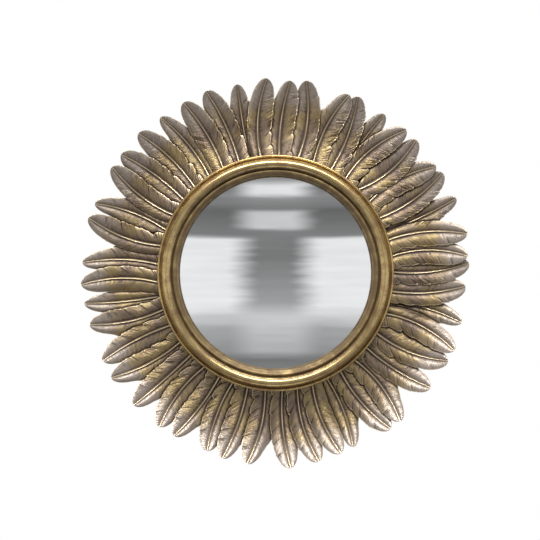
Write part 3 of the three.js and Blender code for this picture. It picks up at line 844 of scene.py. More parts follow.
class Feather:
    """A feather's fine skin, section by section along its barbs.

    A side is -1 for the left vane and 1 for the right one, and covered says which of them
    runs on under another feather. A section starts at a share of the quill's length, along,
    its barbs meet the vanes' edges at another, ends, and full is its share of the relief.
    """

    def __init__(self, name, sizes, seed):
        self.name = name
        self.under = name.endswith("under") or name in PRESSED_DOWN
        self.casting = CASTINGS["under" if self.under else name.rsplit("_", 1)[1]]
        self.covered = {-1: False, 1: self.under}
        self.quill = read_quill(name)
        self.seed = seed
        self.random = np.random.default_rng(seed)
        self.along = self.stations(sizes)
        self.ends = self.along + slant_at(self.along)
        self.full = np.minimum(1, vane_share(self.ends, -1) * 1.3)
        self.clumps = {side: self.clump_sides(side) for side in (-1, 1)}

    def stations(self, sizes):
        """Even sections for each barb, and closer ones round the tip."""
        count = SECTIONS * sizes.barbs
        even = np.arange(count) / count * LAST_BARB
        turn = np.linspace(0, np.pi / 2, TIP_SECTIONS + 1)[:-1]
        return np.concatenate([even, LAST_BARB + (LAST_SECTION - LAST_BARB) * np.sin(turn)])

    def clump_sides(self, side):
        """For each section: the ragged edge's share of the vane's width, and the section's
        place in its clump of barbs, from 0 at the near end to 1 at the far end."""
        width = np.ones_like(self.along)
        place = np.zeros_like(self.along)
        near, notch = -0.02, 0.0
        for far, deep in (*CLUMPS[side], (1.3, 0.0)):
            far = far + self.random.uniform(-CLUMP_JITTER, CLUMP_JITTER)
            following = deep * self.random.uniform(*NOTCH_JITTER)
            inside = (self.ends >= near) & (self.ends < far)
            share = np.clip((self.ends - near) / (far - near), 0, 1)[inside]
            rounded = 0.3 * following * smoothstep(0.75, 1.0, share) ** 2
            width[inside] = 1 - notch * (1 - share**0.7) ** 1.6 - rounded
            place[inside] = share
            near, notch = far, following
        barb = np.arange(len(width)) // SECTIONS
        fray = self.random.normal(0, FRAY[side], barb.max() + 1)[barb]
        fading = np.minimum(1, (1 - self.along) / FRAY_FADES)
        return width + fray * fading, place

    def half_width(self, side):
        """The half-width of the left (-1) or right (1) vane at each section."""
        vane = self.casting.right if side > 0 else self.casting.left
        return vane * vane_share(self.ends, side) * self.clumps[side][0]

    def edge_at(self, along, offset):
        """The half-width, at shares of the length, of the vane that an offset lies on."""
        right = np.interp(along, self.ends, self.half_width(1))
        left = np.interp(along, self.ends, self.half_width(-1))
        return np.where(offset > 0, right, left)

    def base(self, along):
        """Height above the dish of the quill's foot."""
        drawn_out = TIP_CURL * (np.maximum(0, along - CURL_FROM) / (1 - CURL_FROM)) ** 2
        sunk = ROOT_SINK * np.maximum(0, 1 - along / SINK_ENDS) ** 2
        return -self.casting.drop + self.casting.curl * along**2 + drawn_out - sunk

    def keel_depth(self, along, full):
        """How far below the quill's foot the underside lies."""
        bedded = (BED - self.casting.drop) * (1 - along**KEEL_FADE)
        return (bedded + TIP_THICKNESS * along**KEEL_FADE) * full

    def underside(self, along, offset):
        """Height above the dish of this feather's underside."""
        width = self.edge_at(along, offset)
        full = np.interp(along, self.ends, self.full)
        drop = np.where(offset > 0, EDGE_DROP[1], EDGE_DROP[-1])
        edge = self.casting.roll * np.sign(offset) * width - (drop + EDGE_THICKNESS) * full
        keel = -self.keel_depth(along, full)
        share = np.clip((width - np.abs(offset)) / np.maximum(width - KEEL_HALF, 1), 0, 1)
        return self.base(along) + edge + (keel - edge) * share

    def beyond(self, points):
        """How far inside this feather's outline points lie, negative outside it, and where
        they lie along the quill and beside it."""
        along, offset = self.quill.locate(points)
        inside = self.edge_at(along, offset) - np.abs(offset)
        past = np.linalg.norm(points - self.quill.end, axis=-1)
        return np.where(along >= 0.999, -past, inside), along, offset

    def row(self, side, widths):
        """A vane's points and heights above the dish, for its width at each section."""
        shares = VANE_SHARES[None, :]
        groove = self.quill_half()[:, None] * GROOVE_OFFSET
        end = self.along[:, None] + slant_at(self.along)[:, None] * shares**1.25
        offset = side * (groove + np.maximum(widths[:, None] - groove, 0.02) * shares)
        points = self.quill.point(end) + offset[..., None] * self.quill.across(end)
        rising = np.sin(np.pi / 2 * np.minimum(1, shares / CREST))
        falling = np.maximum(0, (shares - CREST) / (1 - CREST)) ** 2.2
        pillow = -GROOVE + (CROWN + GROOVE) * rising - (CROWN + EDGE_DROP[side]) * falling
        place = self.clumps[side][1][:, None]
        root, tip = LIFT_FADES
        free = np.minimum(1, self.along / root)[:, None] * np.minimum(1, (1 - end) / tip)
        lift = LIFT[side] * (place**1.5 - LIFT_LEVEL) * smoothstep(0.15, 0.8, shares) * free
        height = self.base(end) + self.casting.roll * offset
        return self.onto_root(points), height + (pillow + lift) * self.full[:, None]

    def quill_half(self):
        """The quill's half-width, which narrows to the tip."""
        wanted = QUILL_HALF * (1 - QUILL_TAPER * self.along)
        return np.minimum(wanted, 0.3 * self.casting.left * vane_share(self.ends, -1) + 0.02)

    def onto_root(self, points):
        """Moves the points near the root along the feather, so that it ends on a circle."""
        heading = self.quill.heading(0.0)
        fading = np.maximum(0, 1 - self.along / ROOT_CIRCLE_ENDS)[:, None]
        offset = ((points - self.quill.start) * self.quill.across(0.0)).sum(-1)
        start = self.quill.start + offset[..., None] * self.quill.across(0.0)
        ahead = (start * heading).sum(-1)
        inside = ROOT_RADIUS**2 - (start**2).sum(-1)
        shift = np.sqrt(np.maximum(0, ahead**2 + inside)) - ahead
        return points + (fading * shift)[..., None] * heading

    def tucked(self, side, over):
        """The vane's width at each section: wider where a feather covers it, and cut back to a
        short tuck under that feather."""
        widths = self.half_width(side)
        if self.covered[side]:
            widths = widths + TUCK * (1 - smoothstep(*TUCK_FADES, self.ends))
        for other in over:
            points, _ = self.row(side, widths)
            inside, _, _ = other.beyond(points)
            allowed = np.ones(len(widths))
            for i, line in enumerate(inside):
                deep = np.flatnonzero(line > TUCK)
                if len(deep):
                    allowed[i] = VANE_SHARES[max(deep[0] - 1, 0)] * float(deep[0] > 0)
            even = windowed(windowed(allowed, np.min), np.mean)
            widths = widths * np.maximum(np.minimum(even, 1), LEAST_WIDTH)
        return widths

    def ridge(self):
        """The quill's points and heights above the dish, from its left side to its right."""
        offset = self.quill_half()[:, None] * RIDGE_SHARES[None, :]
        along = np.repeat(self.along[:, None], len(RIDGE_SHARES), axis=1)
        points = self.quill.point(along) + offset[..., None] * self.quill.across(along)
        stem = (1 - np.abs(RIDGE_SHARES) ** 3)[None, :]
        rise = (QUILL_RISE * (1 - QUILL_TAPER * self.along) + GROOVE)[:, None]
        height = self.base(along) + self.casting.roll * offset
        return self.onto_root(points), height + (-GROOVE + rise * stem) * self.full[:, None]

    def bedded(self, top, height, over):
        """The top's heights, pressed down under the feathers over it, and how much painted shade
        from under them darkens each point."""
        shade = np.zeros(height.shape)
        for other in over:
            inside, beside, offset = other.beyond(top)
            edge = np.where(offset > 0, 1, -1) * other.edge_at(beside, offset)
            held = np.where(inside > 0, offset, edge)
            released = RELEASE_SLOPE * np.maximum(0, -inside - RELEASE)
            cap = other.underside(beside, held) - CLEAR + released
            height = np.where(inside > -PRESS_REACH, np.minimum(height, cap), height)
            shade = np.maximum(shade, smoothstep(-SHADE_REACH, 0.3, inside))
        return height, shade

    def below(self, top, height):
        """The columns of points round the underside, from the right rim by the keel to the
        left rim, and their heights."""
        thick = (EDGE_THICKNESS * self.full)[:, None]
        keel_half = np.minimum(KEEL_HALF, 0.4 * self.half_width(-1))
        keel = []
        for side in (1, -1):
            point = self.quill.point(self.along)
            point = point + (side * keel_half)[:, None] * self.quill.across(self.along)
            keel.append(self.onto_root(point[:, None]))
        keel_low = (self.base(self.along) - self.keel_depth(self.along, self.full))[:, None]
        right, left = top[:, -1:], top[:, :1]
        right_low, left_low = height[:, -1:] - thick, height[:, :1] - thick
        right_mid_low = np.minimum((right_low + keel_low) / 2, height[:, -4:-3] - thick)
        left_mid_low = np.minimum((left_low + keel_low) / 2, height[:, 3:4] - thick)
        columns = [right, (right + keel[0]) / 2, *keel, (left + keel[1]) / 2, left]
        lows = [right_low, right_mid_low, keel_low, keel_low, left_mid_low, left_low]
        return columns, lows

    def skin(self, over):
        """Points, faces and the attributes of each point, bedded under the feathers over it."""
        left, left_height = self.row(-1, self.tucked(-1, over))
        right, right_height = self.row(1, self.tucked(1, over))
        ridge, ridge_height = self.ridge()
        top = np.concatenate([left[:, ::-1], ridge, right], axis=1)
        height = np.concatenate([left_height[:, ::-1], ridge_height, right_height], axis=1)
        height, shade = self.bedded(top, height, over)
        columns, lows = self.below(top, height)
        points = np.concatenate([top, *columns], axis=1)
        height = np.concatenate([height, *lows], axis=1)

        shares = np.concatenate([VANE_SHARES[::-1], np.zeros(len(RIDGE_SHARES)), VANE_SHARES])
        vane = np.zeros(height.shape)
        vane[:, : len(shares)] = shares
        barb = BARB_NUMBERS * self.seed + np.arange(len(self.along)) / SECTIONS
        marks = {
            "vane": vane,
            "barb": np.repeat(barb[:, None], height.shape[1], axis=1),
            "hollow_and_shade": self.hollows_and_shade(shares, shade, height.shape),
            "proud": self.proud(shares, shade, height.shape),
        }
        return self.closed(points, height, marks)

    def hollows_and_shade(self, shares, shade, shape):
        """The dark wash beside the quill, and painted shade at the root under the moulding, in
        the creases between clumps and under the feather above."""
        hollow_and_shade = np.full(shape, 0.8)
        beside = 0.95 * np.exp(-((shares / 0.17) ** 2)) * (shares > 0)
        # painted shade at the root, under the moulding
        root = 0.4 * (1 - smoothstep(0.0, 0.1, self.along))[:, None]
        # painted shade in the creases, at each clump's near end, which lies under the far end of
        # the clump before
        outer = smoothstep(0.25, 0.7, VANE_SHARES)[None, :]
        left, right = (
            deep * np.exp(-self.clumps[side][1] / 0.08)[:, None] * outer
            for side, deep in ((-1, 0.3), (1, 0.8))
        )
        flat = np.zeros((shape[0], len(RIDGE_SHARES)))
        crease_shade = np.concatenate([left[:, ::-1], flat, right], axis=1)
        top = np.maximum(np.maximum(beside[None, :] + root, crease_shade), shade)
        hollow_and_shade[:, : len(shares)] = np.clip(top, 0, 1)
        return hollow_and_shade

    def proud(self, shares, shade, shape):
        """Where the gilding is rubbed bright: the top of the quill, the vanes' edges and the
        far ends of the clumps."""
        proud = np.zeros(shape)
        count, vane = len(shares), len(VANE_SHARES)
        edge = smoothstep(0.9, 1.0, shares) * 0.9
        ridge = np.zeros(count)
        ridge[vane:-vane] = (0.55, 1.0, 1.0, 1.0, 0.55)
        place = self.clumps[1][1][:, None]
        far = smoothstep(0.7, 1.0, place) * smoothstep(0.5, 1.0, shares)[None, :] * 0.2
        far[:, :-vane] = 0
        # no rubbed gilding where the painted shade of the feather above lies
        proud[:, :count] = np.maximum(np.maximum(edge, ridge)[None, :], far) * (1 - shade)
        proud[:, count] = 0.5  # along the right rim, just under the edge
        return proud

    def closed(self, points, height, marks):
        """Closes the skin with a fan at the root and one at the tip."""
        sections, around = height.shape
        flat = np.vstack([points.reshape(-1, 2), self.quill.start, self.quill.end])
        root_height = -(BED + self.casting.drop) / 2
        lift = np.concatenate([height.reshape(-1), [root_height, float(self.base(1.0))]])
        depth = dish(np.hypot(*flat.T)) + lift
        solid = np.stack([flat[:, 0], -depth, flat[:, 1]], axis=1)
        sides = [(c, (c + 1) % around) for c in range(around)]
        faces = []
        for low in range(0, (sections - 1) * around, around):
            high = low + around
            faces += [(low + c, low + d, high + d, high + c) for c, d in sides]
        root_cap, tip_cap = sections * around, sections * around + 1
        last = (sections - 1) * around
        for c, d in sides:
            faces += [(root_cap, d, c), (last + c, last + d, tip_cap)]
        ends = {"vane": (0, 0), "barb": (0, 0), "hollow_and_shade": (1, 0), "proud": (0, 0.6)}
        marks = {key: np.append(value.reshape(-1), ends[key]) for key, value in marks.items()}
        return solid, faces, marks


def barb_tree():
    """Raises a ridge along each barb of a feather. Each barb starts low beside the one before
    it, and its height varies a little from barb to barb."""
    inputs = {
        "Barb Height": ("NodeSocketFloat", 0.0004),
        "Unevenness": ("NodeSocketFloat", 0.5),
        "Seed": ("NodeSocketInt", 0),
        "Finish": ("NodeSocketMaterial", None),
    }
    tree, bench, source = geometry_tree("barb_relief", inputs)
    barb = bench.add("GeometryNodeInputNamedAttribute", {"Name": "barb"}, data_type="FLOAT")
    vane = bench.add("GeometryNodeInputNamedAttribute", {"Name": "vane"}, data_type="FLOAT")
    count = (barb + 0.01).of("FLOOR")
    phase = (barb - count).most(0.0)
    ridge = ((phase**1.4) * math.pi).of("SINE") - 0.45
    chance = bench.add(
        "FunctionNodeRandomValue",
        {"Min": 0.0, "Max": 1.0, "ID": count, "Seed": bench.more(source, "Seed")},
        output="Value",
        data_type="FLOAT",
    )
    uneven = 1 - bench.more(source, "Unevenness") * chance
    span = vane.ramp(0.02, 0.25)
    height = ridge * span * uneven * bench.more(source, "Barb Height")
    offset = bench.add("ShaderNodeCombineXYZ", {1: height * -1})
    raised = bench.add("GeometryNodeSetPosition", {"Geometry": source, "Offset": offset})
    finish_tree(bench, raised, bench.more(source, "Finish"))
    return tree


# ---- fittings -----------------------------------------------------------------------------


FITTING_CREASE = 40  # angle in degrees past which an edge of a fitting stays sharp
WIRE_CREASE = 60
RECESS_LENGTH, RECESS_WIDTH, RECESS_DEPTH = 3.6, 0.9, 1.6  # of a screw's cross recess
RING_CORNER = 1.4
STRAP_REAR = 2.4
BUTTON_ARM = 16.5  # from the button's screw to the arm's end
BUTTON_HEAD = 5
BUTTON_END = 3.6
BUTTON_HOLE = 2.3


def screw_tree():
    """Turns a screw from its outline, cuts a cross recess in its head, and sets copies round
    the screw circle."""
    inputs = {
        "Count": ("NodeSocketInt", 1),
        "First Clock": ("NodeSocketFloat", 0.0),
        "Seat": ("NodeSocketFloat", 0.0),
        "Recess": ("NodeSocketFloat", 0.004),
        "Seed": ("NodeSocketInt", 0),
        "Finish": ("NodeSocketMaterial", None),
    }
    tree, bench, source = geometry_tree("screws", inputs)
    take = {name: bench.more(source, name) for name in inputs}
    screw = bench.add(
        "GeometryNodeGroup",
        {"Geometry": source, "Facets": 32, "Finish": take["Finish"]},
        node_tree=bpy.data.node_groups["turned_piece"],
    )
    screw = bench.add("GeometryNodeFlipFaces", {"Mesh": screw})
    slots = bench.add("GeometryNodeJoinGeometry")
    deep, wide = RECESS_DEPTH * MM, RECESS_WIDTH * MM
    size = bench.add("ShaderNodeCombineXYZ", {"X": take["Recess"], "Y": deep, "Z": wide})
    slot = bench.add("GeometryNodeMeshCube", {"Size": size})
    for turn in (0, math.pi / 2):
        set_in = {"Geometry": slot, "Rotation": (0, turn, 0), "Translation": (0, deep, 0)}
        arm = bench.add("GeometryNodeTransform", set_in)
        bench.tree.links.new(arm.socket, slots.socket.node.inputs[0])
    cut = bench.add(
        "GeometryNodeMeshBoolean",
        {"Mesh 1": screw, "Mesh 2": slots, "Self Intersection": True},
        operation="DIFFERENCE",
        solver="EXACT",
    )
    index = bench.add("GeometryNodeInputIndex")
    step = 360 / take["Count"]
    angle = (take["First Clock"] + step * index) * (math.pi / 180)
    place = bench.add(
        "ShaderNodeCombineXYZ",
        {
            "X": angle.of("SINE") * (SCREW_CIRCLE * MM),
            "Y": take["Seat"] * -1,
            "Z": angle.of("COSINE") * (SCREW_CIRCLE * MM),
        },
    )
    points = bench.add("GeometryNodePoints", {"Count": take["Count"], "Position": place})
    chance = bench.add(
        "FunctionNodeRandomValue",
        {"Min": 0.0, "Max": math.pi, "ID": index, "Seed": take["Seed"]},
        output="Value",
        data_type="FLOAT",
    )
    spin = bench.add("ShaderNodeCombineXYZ", {"Y": chance})
    values = {"Points": points, "Instance": cut, "Rotation": spin}
    copies = bench.add("GeometryNodeInstanceOnPoints", values)
    finish_tree(bench, copies, take["Finish"])
    return tree


def screw_outline():
    """A pan-head wood screw driven forwards, its seat at depth 0, with a threaded shank."""
    dome = [(0, -1.6), (1.4, -1.58), (2.3, -1.42), (3.05, -1.1), (3.5, -0.65)]
    head = [*dome, (3.6, -0.3), (3.6, 0)]
    thread = [(1.8, 0), (1.8, 0.6)]
    for turn in range(6):
        thread += [(1.35, 1.0 + turn), (1.8, 1.4 + turn)]
    return [*head, *thread, (1.2, 7.2), (0, 8)]


def extruded(name, rims, push, bevel, segments):
    """A flat face between an outer and an inner rim, of points in millimetres, pushed out into
    a solid with rounded edges. The bevel is in metres."""
    shell = bmesh.new()
    edges = []
    for rim in rims:
        corners = [shell.verts.new([MM * value for value in point]) for point in rim]
        edges += [shell.edges.new((a, b)) for a, b in zip(corners, corners[1:] + corners[:1])]
    bmesh.ops.triangle_fill(shell, use_beauty=True, use_dissolve=False, edges=edges)
    lifted = bmesh.ops.extrude_face_region(shell, geom=shell.faces[:])["geom"]
    moved = [part for part in lifted if isinstance(part, bmesh.types.BMVert)]
    bmesh.ops.translate(shell, verts=moved, vec=[MM * value for value in push])
    bmesh.ops.recalc_face_normals(shell, faces=shell.faces)
    mesh = bpy.data.meshes.new(name)
    shell.to_mesh(mesh)
    shell.free()
    piece = new_object(name, mesh)
    rounding = piece.modifiers.new("rounded_edges", "BEVEL")
    rounding.width = bevel
    rounding.segments = segments
    rounding.angle_limit = math.radians(50)
    return smooth(bake_modifiers(piece), FITTING_CREASE)


def button_plate(name, thickness, bevel):
    """A turn button at the origin: a plate whose arm points down, with a round hole."""
    arm = arc(0, BUTTON_END - BUTTON_ARM, BUTTON_END, BUTTON_END, 180, 360, 20)
    outline = [*arc(0, 0, BUTTON_HEAD, BUTTON_HEAD, 0, 180, 24), *arm]
    hole = arc(0, 0, BUTTON_HOLE, BUTTON_HOLE, 0, 360, 32)[:-1]
    rims = [[(x, 0, z) for x, z in rim] for rim in (outline, hole)]
    return extruded(name, rims, (0, thickness, 0), bevel, 3)


def folded_strap(bar, depth, wire, bevel):
    """A strap folded round the ring's bar, drawn in height and depth and as wide as the CAD
    strap."""
    low, high = node_box("hanger_strap")
    front = -low.y
    curl = front - depth
    fold = arc(bar, depth, curl, curl, 180, 450, 27)
    outer = [(low.z, STRAP_REAR), (bar - curl, STRAP_REAR), *fold, (low.z, front)]
    bore = arc(bar, depth, wire + GAP, wire + GAP, 0, 360, 24)[:-1]
    rims = [[(low.x, -forward, z) for z, forward in rim] for rim in (outer, bore)]
    return extruded("hanger_strap_fold", rims, (high.x - low.x, 0, 0), bevel, 2)


def wire_tree():
    """Runs a round wire along a closed line, whose corners it rounds."""
    inputs = {
        "Wire Radius": ("NodeSocketFloat", 0.0009),
        "Corner Radius": ("NodeSocketFloat", 0.0014),
        "Finish": ("NodeSocketMaterial", None),
    }
    tree, bench, source = geometry_tree("ring_wire", inputs)
    line = bench.add("GeometryNodeMeshToCurve", {"Mesh": source})
    rounded = bench.add(
        "GeometryNodeFilletCurve",
        {"Curve": line, "Count": 6, "Radius": bench.more(source, "Corner Radius")},
        mode="POLY",
    )
    section = bench.add(
        "GeometryNodeCurvePrimitiveCircle",
        {"Resolution": 20, "Radius": bench.more(source, "Wire Radius")},
    )
    wire = bench.add("GeometryNodeCurveToMesh", {"Curve": rounded, "Profile Curve": section})
    finish_tree(bench, wire, bench.more(source, "Finish"))
    return tree


# ---- what a user may change ---------------------------------------------------------------


def colour(name, description, default):
    """A colour that a user may change."""
    return FloatVectorProperty(
        name=name, description=description, default=default, subtype="COLOR", min=0, max=1
    )


def length(name, description, default):
    """A length in metres that a user may change."""
    return FloatProperty(name=name, description=description, default=default, unit="LENGTH")


def fraction(name, description, default):
    """A share between 0 and 1 that a user may change."""
    return FloatProperty(
        name=name, description=description, default=default, subtype="FACTOR", min=0, max=1
    )


class FeatherSizes(bpy.types.PropertyGroup):
    barbs: IntProperty(name="Barbs", description="Barbs along each vane", default=50)
    barb_height: length("Barb Height", "Height of a barb's ridge", 0.00045)
    unevenness: fraction("Unevenness", "How uneven the barbs are", 0.5)
    gold: colour("Gold", "Gilding of the vanes", (0.42, 0.315, 0.155))
    champagne: colour("Champagne", "Paler patches of the gilding", (0.31, 0.232, 0.168))
    silver: colour("Silver", "Gilding of the tips", (0.54, 0.46, 0.395))
    # the umber is both the dark wash and the painted shade under the feathers above, at the root
    # and in the creases
    umber: colour("Umber", "Dark wash in the hollows", (0.07, 0.046, 0.04))
    rubbed: colour("Rubbed Gold", "Quills and edges rubbed bright", (0.92, 0.77, 0.5))


class MouldingSizes(bpy.types.PropertyGroup):
    facets: IntProperty(name="Facets", description="Facets round the moulding", default=360)
    gold: colour("Gold", "Burnished gilding", (0.64, 0.48, 0.22))
    bronze: colour("Bronze", "Darker patches of the gilding", (0.46, 0.3, 0.15))
    umber: colour("Umber", "Brown wash and speckles", (0.17, 0.112, 0.052))


class GlassSizes(bpy.types.PropertyGroup):
    facets: IntProperty(name="Facets", description="Facets round the glass", default=180)
    polish: fraction("Roughness", "Roughness of the silvering", 0.03)
    silver: colour("Silver", "Reflection of the silvering", (0.93, 0.94, 0.95))
    # the edge colour is painted shade round the glass's sight edge, where the moulding meets it
    edge: colour("Edge", "Silvering at the sight edge", (0.35, 0.34, 0.33))


class BackingSizes(bpy.types.PropertyGroup):
    facets: IntProperty(name="Facets", description="Facets round the carrier ring", default=240)
    carrier: colour("Carrier", "Paint of the carrier ring", (0.05, 0.035, 0.026))
    board: colour("Board", "Face of the hardboard", (0.16, 0.085, 0.042))
    card: colour("Card", "Card of the spacer", (0.24, 0.17, 0.1))
    bare: colour("Bare Fibre", "Fibre where the paint is thin", (0.2, 0.12, 0.065))
    fleck: colour("Fleck", "Pale flecks in the hardboard", (0.34, 0.22, 0.12))


class FittingSizes(bpy.types.PropertyGroup):
    bevel: length("Bevel", "Rounding of the sheet-metal edges", 0.0002)
    brass: colour("Brass Wash", "Plating of the fittings", (0.66, 0.53, 0.3))
    tarnish: colour("Tarnish", "Tarnished plating", (0.3, 0.22, 0.13))


class StageSizes(bpy.types.PropertyGroup):
    distance: length("Camera Distance", "From the wall to the camera", 2.6)
    view_width: length("View Width", "Width of the picture at the wreath", 0.551)
    floor_radius: length("Floor Radius", "Radius of the floor", 0.4)
    floor_drop: length("Floor Drop", "From the mirror's lowest feather to the floor", 0.45)
    key: FloatProperty(name="Key Light", description="Watts of the light overhead", default=116)
    floor_colour: colour("Floor", "Pale floor", (0.7, 0.7, 0.7))


class MirrorSizes(bpy.types.PropertyGroup):
    feathers: PointerProperty(type=FeatherSizes)
    moulding: PointerProperty(type=MouldingSizes)
    glass: PointerProperty(type=GlassSizes)
    backing: PointerProperty(type=BackingSizes)
    fittings: PointerProperty(type=FittingSizes)
    stage: PointerProperty(type=StageSizes)


# ---- the operators ------------------------------------------------------------------------


def sizes_of(context):
    """The sizes and colours of the scene's mirror."""
    return context.scene.convex_mirror


class MIRROR_OT_feathers(bpy.types.Operator):
    """Make the wreath of cast feathers, each in place of its plain casting"""

    bl_idname = "convex_mirror.feathers"
    bl_label = "Feathers"

    def execute(self, context):
        sizes = sizes_of(context).feathers
        finish = feather_finish(sizes)
        tree = barb_tree()
        wreath = [Feather(name, sizes, seed) for seed, name in enumerate(FEATHER_NODES)]
        for place, feather in enumerate(wreath):
            feather.covered[-1] = not wreath[place - 1].under
            steps = (-1, -2, 1, 2) if feather.under else (-1, -2)
            over = [wreath[(place + step) % len(wreath)] for step in steps]
            over = [other for other in over if not other.under]
            points, faces, marks = feather.skin(over)
            mesh = mesh_of(f"{feather.name}_casting", points, faces)
            for key, values in marks.items():
                mark(mesh, key, values)
            piece = new_object(f"{feather.name}_casting", mesh)
            inputs = {
                "Barb Height": sizes.barb_height,
                "Unevenness": sizes.unevenness,
                "Seed": place,
                "Finish": finish,
            }
            run_tree(piece, tree, inputs)
            smooth(piece, FEATHER_CREASE)
            hand_over(piece, finish, "feather", feather.name)
        return {"FINISHED"}


class MIRROR_OT_moulding(bpy.types.Operator):
    """Turn the gilt torus moulding with its beads and grooves"""

    bl_idname = "convex_mirror.moulding"
    bl_label = "Moulding"

    def execute(self, context):
        sizes = sizes_of(context).moulding
        finish = moulding_finish(sizes)
        outline = moulding_outline()
        piece = turned("moulding_ring", outline, sizes.facets, finish, moulding_hollow)
        hand_over(piece, finish, "gilt", "rim_moulding")
        return {"FINISHED"}


class MIRROR_OT_glass(bpy.types.Operator):
    """Slump the domed mirror glass"""

    bl_idname = "convex_mirror.glass"
    bl_label = "Glass"

    def execute(self, context):
        sizes = sizes_of(context).glass
        finish = mirror_finish(sizes)
        radii = np.linspace(0, GLASS_RADIUS, 34)
        rear = [(radius, glass_rear(radius)) for radius in radii]
        front = [(radius, glass_front(radius)) for radius in radii[::-1]]
        piece = turned("domed_glass", [*rear, *front], sizes.facets, finish)
        hand_over(piece, finish, "mirror_glass", "convex_glass")
        return {"FINISHED"}


class MIRROR_OT_backing(bpy.types.Operator):
    """Turn the carrier ring, the card spacer and the hardboard back"""

    bl_idname = "convex_mirror.backing"
    bl_label = "Backing"

    def execute(self, context):
        sizes = sizes_of(context).backing
        layers = (
            ("carrier_ring", carrier_outline(), carrier_finish, "carrier", "base_ring"),
            ("card_spacer", spacer_outline(), card_finish, "card", "glass_spacer"),
            ("hardboard_back", board_outline(), board_finish, "board", "back_board"),
        )
        for name, outline, finish, slot, node in layers:
            material = finish(sizes)
            hand_over(turned(name, outline, sizes.facets, material), material, slot, node)
        return {"FINISHED"}


class MIRROR_OT_turn_buttons(bpy.types.Operator):
    """Make the turn buttons that hold the back board in"""

    bl_idname = "convex_mirror.turn_buttons"
    bl_label = "Turn Buttons"

    def execute(self, context):
        sizes = sizes_of(context).fittings
        finish = plated_finish(sizes)
        for joint in BUTTON_JOINTS:
            name = joint["child"]
            low, high = node_box(name)
            pivot = Vector(joint["pos_m"])
            piece = button_plate(f"{name}_plate", high.y - low.y, sizes.bevel)
            turn = Matrix.Rotation(math.atan2(pivot.x, pivot.z), 4, "Y")
            piece.data.transform(Matrix.Translation((pivot.x, low.y * MM, pivot.z)) @ turn)
            hand_over(piece, finish, "fitting", name, body=name)
        return {"FINISHED"}


class MIRROR_OT_screws(bpy.types.Operator):
    """Drive the screws of the turn buttons and of the hanger"""

    bl_idname = "convex_mirror.screws"
    bl_label = "Screws"

    def execute(self, context):
        finish = bpy.data.materials["brass_wash"]
        tree = screw_tree()
        outline = screw_outline()
        head = -outline[0][1]
        button_screws = sorted(n for n in frame["nodes"] if n.startswith("turn_button_screw"))
        sets = (("button_screws", button_screws, 60), ("hanger_strap_screw", ["hanger_screw"], 0))
        for seed, (name, nodes, clock) in enumerate(sets):
            piece = new_object(name, outline_mesh(name, outline))
            inputs = {
                "Count": len(nodes),
                "First Clock": float(clock),
                "Seat": (head - node_box(nodes[0])[1].y) * MM,
                "Recess": RECESS_LENGTH * MM,
                "Seed": seed,
                "Finish": finish,
            }
            run_tree(piece, tree, inputs)
            smooth(piece, FITTING_CREASE)
            hand_over(piece, finish, "fitting", *nodes)
        return {"FINISHED"}


class MIRROR_OT_hanger(bpy.types.Operator):
    """Bend the hanger's D-ring and fold its strap round the ring's bar"""

    bl_idname = "convex_mirror.hanger"
    bl_label = "Hanger"

    def execute(self, context):
        sizes = sizes_of(context).fittings
        finish = bpy.data.materials["brass_wash"]
        low, high = node_box("hanger_ring")
        wire = (high.y - low.y) / 2
        depth = -(high.y + low.y) / 2
        half = high.x - wire
        bar = low.z + wire
        bow = arc(0, high.z - wire - half, half, half, 0, 180, 28)
        points = [(x, -depth, z) for x, z in [(-half, bar), (half, bar), *bow]]
        edges = [(i, (i + 1) % len(points)) for i in range(len(points))]
        ring = new_object("d_ring", mesh_of("d_ring", points, edges=edges))
        corner = RING_CORNER * MM
        inputs = {"Wire Radius": wire * MM, "Corner Radius": corner, "Finish": finish}
        run_tree(ring, wire_tree(), inputs)
        smooth(outward(ring), WIRE_CREASE)
        hand_over(ring, finish, "fitting", "hanger_ring", body="hanger_ring")

        strap = folded_strap(bar, depth, wire, sizes.bevel)
        hand_over(strap, finish, "fitting", "hanger_strap")
        return {"FINISHED"}


class MIRROR_OT_stage(bpy.types.Operator):
    """Set the floor, the soft lights, the pale surroundings and the camera"""

    bl_idname = "convex_mirror.stage"
    bl_label = "Stage"

    def execute(self, context):
        sizes = sizes_of(context).stage
        scene = context.scene
        scene.view_settings.view_transform = "Standard"
        set_floor(sizes)
        set_surroundings(scene)
        set_lights(sizes)
        set_camera(scene, sizes)
        return {"FINISHED"}


def set_floor(sizes):
    """A round pale floor below the mirror, which the glass and gilding don't reflect."""
    shell = bmesh.new()
    bmesh.ops.create_circle(shell, cap_ends=True, segments=96, radius=sizes.floor_radius)
    mesh = bpy.data.meshes.new("floor")
    shell.to_mesh(mesh)
    shell.free()
    floor = new_object("floor", mesh)
    floor.location.z = CAD_BOX[0].z - sizes.floor_drop
    mesh.materials.append(Paint("floor_paint", sizes.floor_colour, Roughness=0.8).material)
    floor.visible_glossy = False


